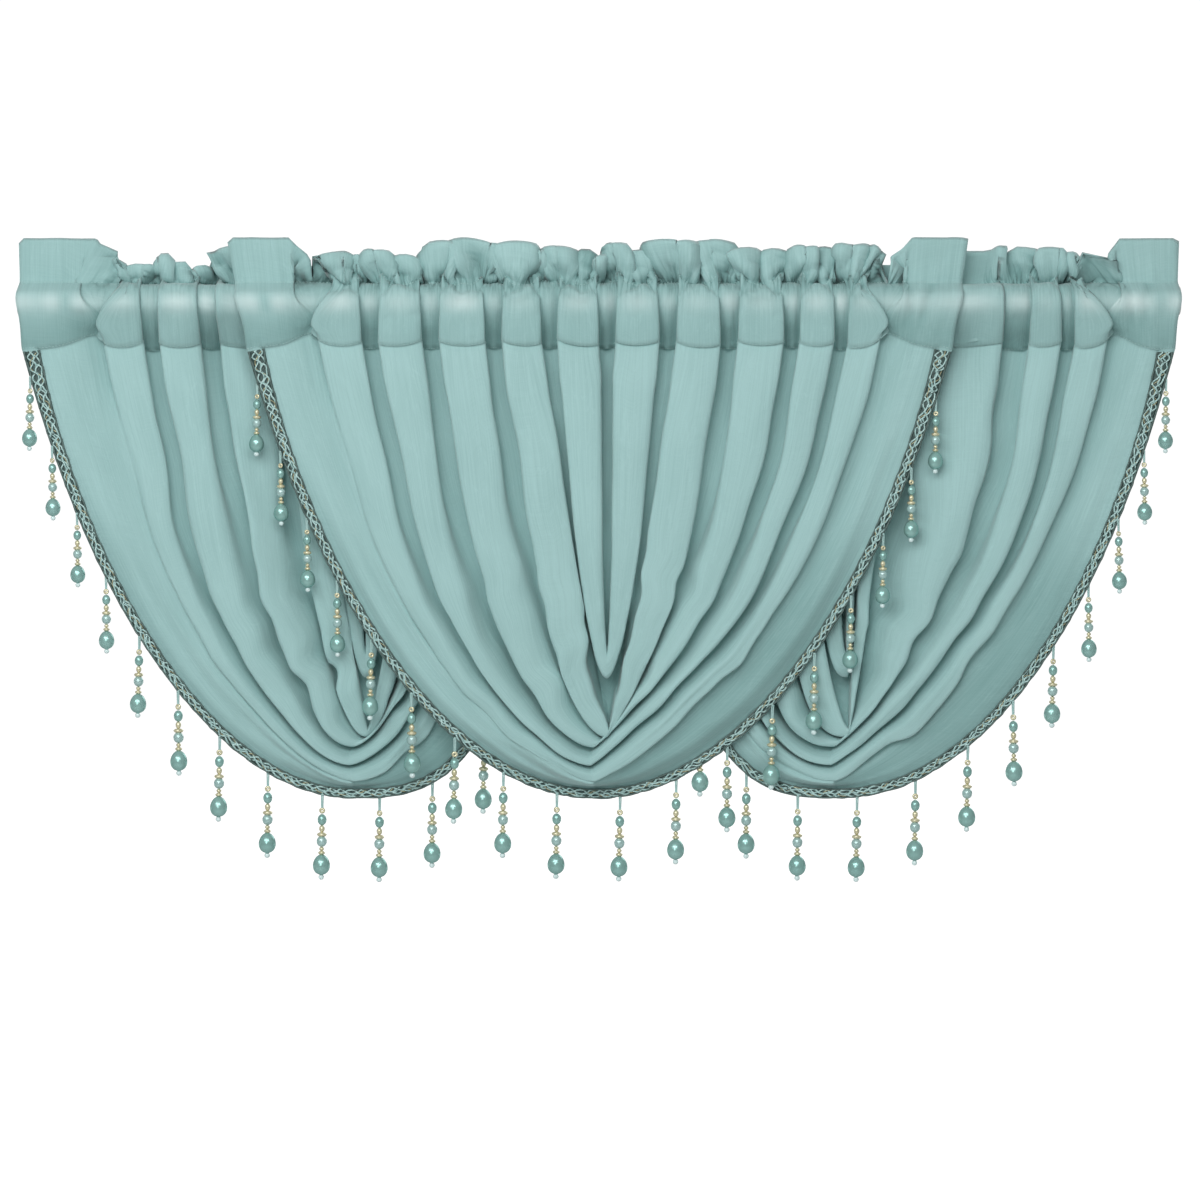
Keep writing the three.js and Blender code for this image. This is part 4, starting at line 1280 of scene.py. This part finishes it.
def run_tree(source, tree, sizes, name):
    """Runs a tree on a mesh object and keeps the result as a plain mesh object."""
    modifier = source.modifiers.new(tree.name, "NODES")
    modifier.node_group = tree
    for item in tree.interface.items_tree:
        if item.in_out == "INPUT" and item.name in sizes:
            modifier[item.identifier] = sizes[item.name]
    graph = bpy.context.evaluated_depsgraph_get()
    mesh = bpy.data.meshes.new_from_object(source.evaluated_get(graph), depsgraph=graph)
    source.modifiers.remove(modifier)
    bpy.data.objects.remove(source)
    mesh.name = name
    mesh.shade_smooth()
    piece = bpy.data.objects.new(name, mesh)
    scene.collection.objects.link(piece)
    print(name, len(mesh.polygons), "faces")
    return piece


print("a result is kept as a plain mesh by", run_tree.__name__)

# %% [markdown]
# ## Stitches
# Two rows of machine stitching hold the pocket: one just over the rod and one at the seam. A bump map
# could draw them, but from the side it would show nothing. Each stitch is a short thread that lies on
# the cloth, turned along its row.

# %% Stitch tree
STITCH_SIZES = {"Stitch length": 2.6 * MM, "Thread": 0.6 * MM}
stitch_tree, sizes = new_tree("stitches", STITCH_SIZES)
ball = stitch_tree.node("GeometryNodeMeshUVSphere", None, {"Segments": 6, "Rings": 4, "Radius": 0.5})
long, thin = sizes["Stitch length"], sizes["Thread"]
shape = stitch_tree.node("ShaderNodeCombineXYZ", None, {X: long, Y: thin, Z: thin})
stitch = stitch_tree.node("GeometryNodeTransform", None, {"Geometry": ball, "Scale": shape})
along = named(stitch_tree, "along", "FLOAT_VECTOR")
turn = stitch_tree.node("FunctionNodeAlignRotationToVector", {"axis": "X"}, {"Vector": along})
placing = {"Points": sizes["Geometry"], "Instance": stitch, "Rotation": turn}
placed = stitch_tree.node("GeometryNodeInstanceOnPoints", None, placing)
stitch_group = finish_tree(stitch_tree, [finished(stitch_tree, placed, "thread")])

# %% Stitches
STITCH_PITCH = 3.4
STITCH_LIFT = 0.1


def run_along(points):
    """Distance of each point from the first one, along a line of points."""
    return np.append(0, np.cumsum(np.linalg.norm(np.diff(points, axis=0), axis=1)))


def resample(values, run, places):
    """Values at other places along a line."""
    return np.column_stack([np.interp(places, run, column) for column in np.asarray(values).T])


def unit(vectors):
    """The same directions, each of length 1."""
    return vectors / np.linalg.norm(vectors, axis=1, keepdims=True)


def stitch_row(grid, row):
    """Middles and directions of the stitches in a row of the sheet, where it has a pocket."""
    surface = grid["sheet"] + grid["normals"] * (THICKNESS / 2 + STITCH_LIFT)
    line = surface[grid["tunnel"], row]
    run = run_along(line)
    points = resample(line, run, np.arange(STITCH_PITCH / 2, run[-1], STITCH_PITCH))
    return points, unit(np.gradient(points, axis=0))


stitches = {}
for name, grid in grids.items():
    rows = [stitch_row(grid, row) for row in (STITCH_ROW, SEAM_ROW)]
    points, along = (np.concatenate(parts) for parts in zip(*rows))
    source = path_object("stitch_rows", points, {"along": along})
    stitches[name] = run_tree(source, stitch_group, STITCH_SIZES, f"stitches_{name}")

# %% [markdown]
# ## Braid
# A gimp braid is sewn along the hem: pale cords cross over and under each other on a dark ribbon, with
# thin olive cords between them. A picture of a braid on a flat strip would do from afar. Here every cord
# follows the hem and swings across it as a sine, half a turn or a quarter turn out of step with the
# others, and rises where it crosses. First comes the way along the hem; the braid is wider near its ends.

# %% Braid path
BRAID_WIDTH, BRAID_WIDENING, WIDENING_RUN = 10.5, 8.0, 90
BRAID_STEP = 1.6
HEM_END = 4.0


def hem_path(grid):
    """The hem's edge from one end to the other, with its inward and outward directions and the braid's width."""
    sheet, normals = grid["sheet"][:, SEAM_ROW:], grid["normals"][:, SEAM_ROW:]
    edge = np.concatenate([sheet[0], sheet[-1, -2::-1]])
    band = np.concatenate([sheet[3], sheet[-4, -2::-1]])
    out = np.concatenate([normals[2], normals[-3, -2::-1]])
    lowest = len(sheet[0]) - 1
    out[lowest] = out[lowest - 1]
    run = run_along(edge)
    places = np.arange(HEM_END, run[-1] - HEM_END, BRAID_STEP)
    width = BRAID_WIDTH + BRAID_WIDENING * np.exp(-np.minimum(places, run[-1] - places) / WIDENING_RUN)
    edge, side, out = (resample(values, run, places) for values in (edge, unit(band - edge), out))
    return {"edge": edge, "side": unit(side), "out": unit(out), "run": places, "width": width}


hems = {name: hem_path(grid) for name, grid in grids.items()}
print("hem lengths:", {name: round(hem["run"][-1]) for name, hem in hems.items()})

# %% [markdown]
# The tree takes that way as its input and draws the cords one by one. A little noise along the way keeps
# them from looking as even as wire.

# %% Braid tree
BRAID_SIZES = {"Pitch": 21 * MM, "Lift": 1.0 * MM, "Unevenness": 1.0}
CORDS = (
    # share of the width it swings through, place across, phase, turns a pitch, radius in mm, material
    (0.19, 0.15, 0.000, 1.0, 0.90, "cord"),
    (0.19, 0.15, 0.500, 1.0, 0.85, "cord"),
    (0.19, -0.12, 0.250, 1.0, 0.90, "cord"),
    (0.19, -0.12, 0.750, 1.0, 0.80, "cord"),
    (0.27, 0.02, 0.100, 0.7, 0.45, "olive"),
    (0.27, 0.02, 0.600, 0.7, 0.55, "teal"),
    (0.03, 0.41, 0.000, 0.9, 0.95, "teal"),
    (0.03, -0.40, 0.300, 0.8, 1.05, "teal"),
)
STRAYS = 70.0  # a metre
braid_tree, sizes = new_tree("braid", BRAID_SIZES)
curve = braid_tree.node("GeometryNodeMeshToCurve", None, {"Mesh": sizes["Geometry"]})
run, width = (named(braid_tree, key, "FLOAT") for key in ("run", "width"))
side, out = (named(braid_tree, key, "FLOAT_VECTOR") for key in ("side", "out"))


def cord(swing, place, phase, turns, radius):
    """One cord of the braid as a tube, thicker where the braid is wider."""
    spot = braid_tree.node("ShaderNodeCombineXYZ", None, {X: run * STRAYS, Y: phase * 9})
    stray = braid_tree.node("ShaderNodeTexNoise", None, {"Vector": spot, "Scale": 1.0, "Detail": 1.0}) - 0.5
    turn = (run / sizes["Pitch"] * turns + phase + stray * sizes["Unevenness"]) * (2 * math.pi)
    sway = (turn.math("SINE") * swing + place + stray * 0.12) * width
    lift = ((turn * 2.0).math("SINE") * 0.8 + 1.0) * sizes["Lift"]
    across, up = vector(braid_tree, "SCALE", side, sway), vector(braid_tree, "SCALE", out, lift)
    offset = vector(braid_tree, "ADD", across, up)
    moved = braid_tree.node("GeometryNodeSetPosition", None, {"Geometry": curve, "Offset": offset})
    thickness = width * 95.0 - 0.12
    moved = braid_tree.node("GeometryNodeSetCurveRadius", None, {"Curve": moved, "Radius": thickness})
    return tube(braid_tree, moved, radius * MM, True)


braid_group = finish_tree(braid_tree, [finished(braid_tree, cord(*shape), finish) for *shape, finish in CORDS])

# %% Braids
RIBBON_LOW, RIBBON_HIGH, CORD_LIFT = 0.7, 1.3, 1.4


def ribbon(hem):
    """A flat strip under the cords."""
    inner, outer = hem["side"] * (hem["width"][:, None] - 0.4), hem["side"] * 0.2
    low, high = hem["out"] * RIBBON_LOW, hem["out"] * RIBBON_HIGH
    ring = np.stack([hem["edge"] + a + b for a, b in ((inner, low), (inner, high), (outer, high), (outer, low))], 1)
    index = np.arange(len(ring) * 4).reshape(-1, 4)
    after = np.roll(index, -1, axis=1)
    walls = [np.stack([index[:-1, k], after[:-1, k], after[1:, k], index[1:, k]], 1) for k in range(4)]
    return ring.reshape(-1, 3), np.concatenate([*walls, index[:1, ::-1], index[-1:]])


braids = {}
for name, hem in hems.items():
    middle = hem["edge"] + hem["side"] * hem["width"][:, None] / 2 + hem["out"] * CORD_LIFT
    values = {"side": hem["side"], "out": hem["out"], "run": hem["run"] * MM, "width": hem["width"] * MM}
    cords = run_tree(path_object("hem", middle, values), braid_group, BRAID_SIZES, f"braid_{name}")
    strip = mesh_piece(f"ribbon_{name}", *ribbon(hem), MATERIALS["ribbon"])
    braids[name] = [cords, strip]

# %% [markdown]
# ## Bead strands
# Each strand is strung the same way: two threads, a small ring, an oval pearl, a seed, a cut rondelle on
# a clear bead, a seed and a ring, a large pearl drop and a clear tip. Lathed profiles could give every
# bead its own outline; at this size a stretched ball, a little narrower at the top for the drop, looks
# the same.

# %% Beads of a strand
BEADS = (
    # material, top and bottom below the root in mm, width in mm, segments, narrowing towards the top
    ("thread", -1.0, 2.2, 3.2, 8, 0),
    ("pearl", 20.0, 31.5, 9.2, 16, 0),
    ("gold", 31.2, 38.6, 6.0, 10, 0),
    ("gold", 38.2, 43.2, 10.2, 12, 0),
    ("glass", 42.0, 53.2, 10.7, 14, 0),
    ("gold", 53.0, 57.2, 5.2, 10, 0),
    ("gold", 57.0, 61.2, 7.3, 12, 0),
    ("pearl", 60.6, 81.4, 17.4, 24, 0.10),
    ("clear", 80.8, 86.4, 6.0, 10, 0),
)
STRAND_SIZES = {"Size": 1.0}
bead_tree, sizes = new_tree("bead strand", STRAND_SIZES)


def bead(top, bottom, width, segments, narrow):
    """A ball stretched between two depths below the root."""
    rings = max(6, segments // 2 + 2)
    ball = bead_tree.node("GeometryNodeMeshUVSphere", None, {"Segments": segments, "Rings": rings, "Radius": 1.0})
    where = bead_tree.node("GeometryNodeInputPosition")
    reach = (1.0 - axis_of(where, Z) * narrow) * (width / 2 * MM)
    shape = bead_tree.node("ShaderNodeCombineXYZ", None, {X: reach, Y: reach, Z: (bottom - top) / 2 * MM})
    middle = (0, 0, -(top + bottom) / 2 * MM)
    moved = vector(bead_tree, "ADD", vector(bead_tree, "MULTIPLY", where, shape), middle)
    return bead_tree.node("GeometryNodeSetPosition", None, {"Geometry": ball, "Position": moved})


strung = {}
for finish, *shape in BEADS:
    strung.setdefault(finish, []).append(bead(*shape))
print("beads on a strand:", len(BEADS))

# %% [markdown]
# A strand is tied on by two threads that run down to a small upright ring over the first pearl. Both are
# round tubes along a simple curve.

# %% Threads and ring of a strand
THREAD_APART, THREAD_LENGTH, THREAD_RADIUS = 0.9, 14.5, 0.8
RING_DEPTH, RING_RADIUS, RING_WIRE = 16.5, 1.9, 1.3
for place in (-THREAD_APART, THREAD_APART):
    ends = {"Start": (place * MM, 0, 0), "End": (place * 0.6 * MM, 0, -THREAD_LENGTH * MM)}
    line = bead_tree.node("GeometryNodeCurvePrimitiveLine", None, ends)
    strung["thread"].append(tube(bead_tree, line, THREAD_RADIUS * MM))
circle = bead_tree.node("GeometryNodeCurvePrimitiveCircle", None, {"Resolution": 14, "Radius": RING_RADIUS * MM})
upright = {"Translation": (0, 0, -RING_DEPTH * MM), "Rotation": (math.pi / 2, 0, 0)}
ring = {"Geometry": tube(bead_tree, circle, RING_WIRE * MM), **upright}
strung["gold"].append(bead_tree.node("GeometryNodeTransform", None, ring))
print("finishes on a strand:", list(strung))

# %% [markdown]
# No two strands hang quite alike, so each is turned by a random angle and tipped a very little. The
# beads are grouped by material, and each group is placed on all the roots at once.

# %% Strand tree
TIP, TURN = 0.02, 0.4
limits = {0: (-TIP, -TIP, -TURN), 1: (TIP, TIP, TURN), "Seed": 5}
spin = bead_tree.node("FunctionNodeRandomValue", {"data_type": "FLOAT_VECTOR"}, limits)
scale = named(bead_tree, "scale", "FLOAT") * sizes["Size"]
strands = []
for finish, shapes in strung.items():
    joined = bead_tree.node("GeometryNodeJoinGeometry", None, {0: shapes})
    placing = {"Points": sizes["Geometry"], "Instance": joined, "Rotation": spin, "Scale": scale}
    placed = bead_tree.node("GeometryNodeInstanceOnPoints", None, placing)
    strands.append(finished(bead_tree, placed, finish))
bead_group = finish_tree(bead_tree, strands)

# %% [markdown]
# The strands hang straight down from the outer edge of the braid. They are closer together where the
# hem is lowest, with one longer step where it climbs again, and smaller where it is steep.

# %% Bead strands
STRANDS = {
    # from which end of the hem, the first strand's distance, the first pitch and the share that is fringed
    "left": (("left", 30, 73, 0.84),),
    "middle": (("left", 36, 73, 0.5), ("right", 54, 73, 0.5)),
    "right": (("right", 32, 75, 0.84),),
}
LEAST_PITCH, CROWDING = 55, 1.5
LATE, LATE_CROWDING = 4, 3
CLIMB, CLIMB_STEP = 10, 22
ROOT_LIFT = 2.1
SMALLEST = 0.86


def next_step(pitch, number):
    """Distance from one strand to the next."""
    closer = CROWDING * number + LATE_CROWDING * (number > LATE)
    return max(LEAST_PITCH, pitch - closer) + CLIMB_STEP * (number == CLIMB)


def strand_roots(hem, runs):
    """Where each strand hangs, and its size."""
    length = hem["run"][-1] + HEM_END
    roots, scales = [], []
    for end, first, pitch, share in runs:
        place, number = first, 0
        while place < share * length:
            along = place if end == "left" else length - place
            edge, side, out = (resample(hem[key], hem["run"], [along])[0] for key in ("edge", "side", "out"))
            roots.append(edge + side + out * ROOT_LIFT)
            scales.append(SMALLEST + (1 - SMALLEST) * smooth(place / length, 0.15, 0.36))
            place += next_step(pitch, number)
            number += 1
    return np.array(roots), np.array(scales)


beads = {}
for name, runs in STRANDS.items():
    roots, scales = strand_roots(hems[name], runs)
    source = path_object("roots", roots, {"scale": scales})
    beads[name] = run_tree(source, bead_group, STRAND_SIZES, f"beads_{name}")
    print(f"beads_{name}: {len(roots)} strands")

# %% [markdown]
# ## Who moves with what
# Nothing on the valance moves by itself: every piece rides on the one body and stands in for its CAD solid,
# which is hidden. The size of the flat panel each swag was cut from is listed below.

FLAT = {
    # width and length of the flat panel in metres, and its cut area in square metres
    "left": (0.95, 0.94, 0.48),
    "middle": (1.22, 0.94, 0.75),
    "right": (0.95, 0.94, 0.48),
}
for name, cloth in cloths.items():
    extras = [*braids[name], beads[name]]
    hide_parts(f"swag_{name}")
    for piece in extras:
        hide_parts(f"trim_{name}")
    for piece in (cloth, stitches[name], *extras):
        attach(piece, "root")
    width, length, area = FLAT[name]
print("declared:", [cloth.name for cloth in cloths.values()])
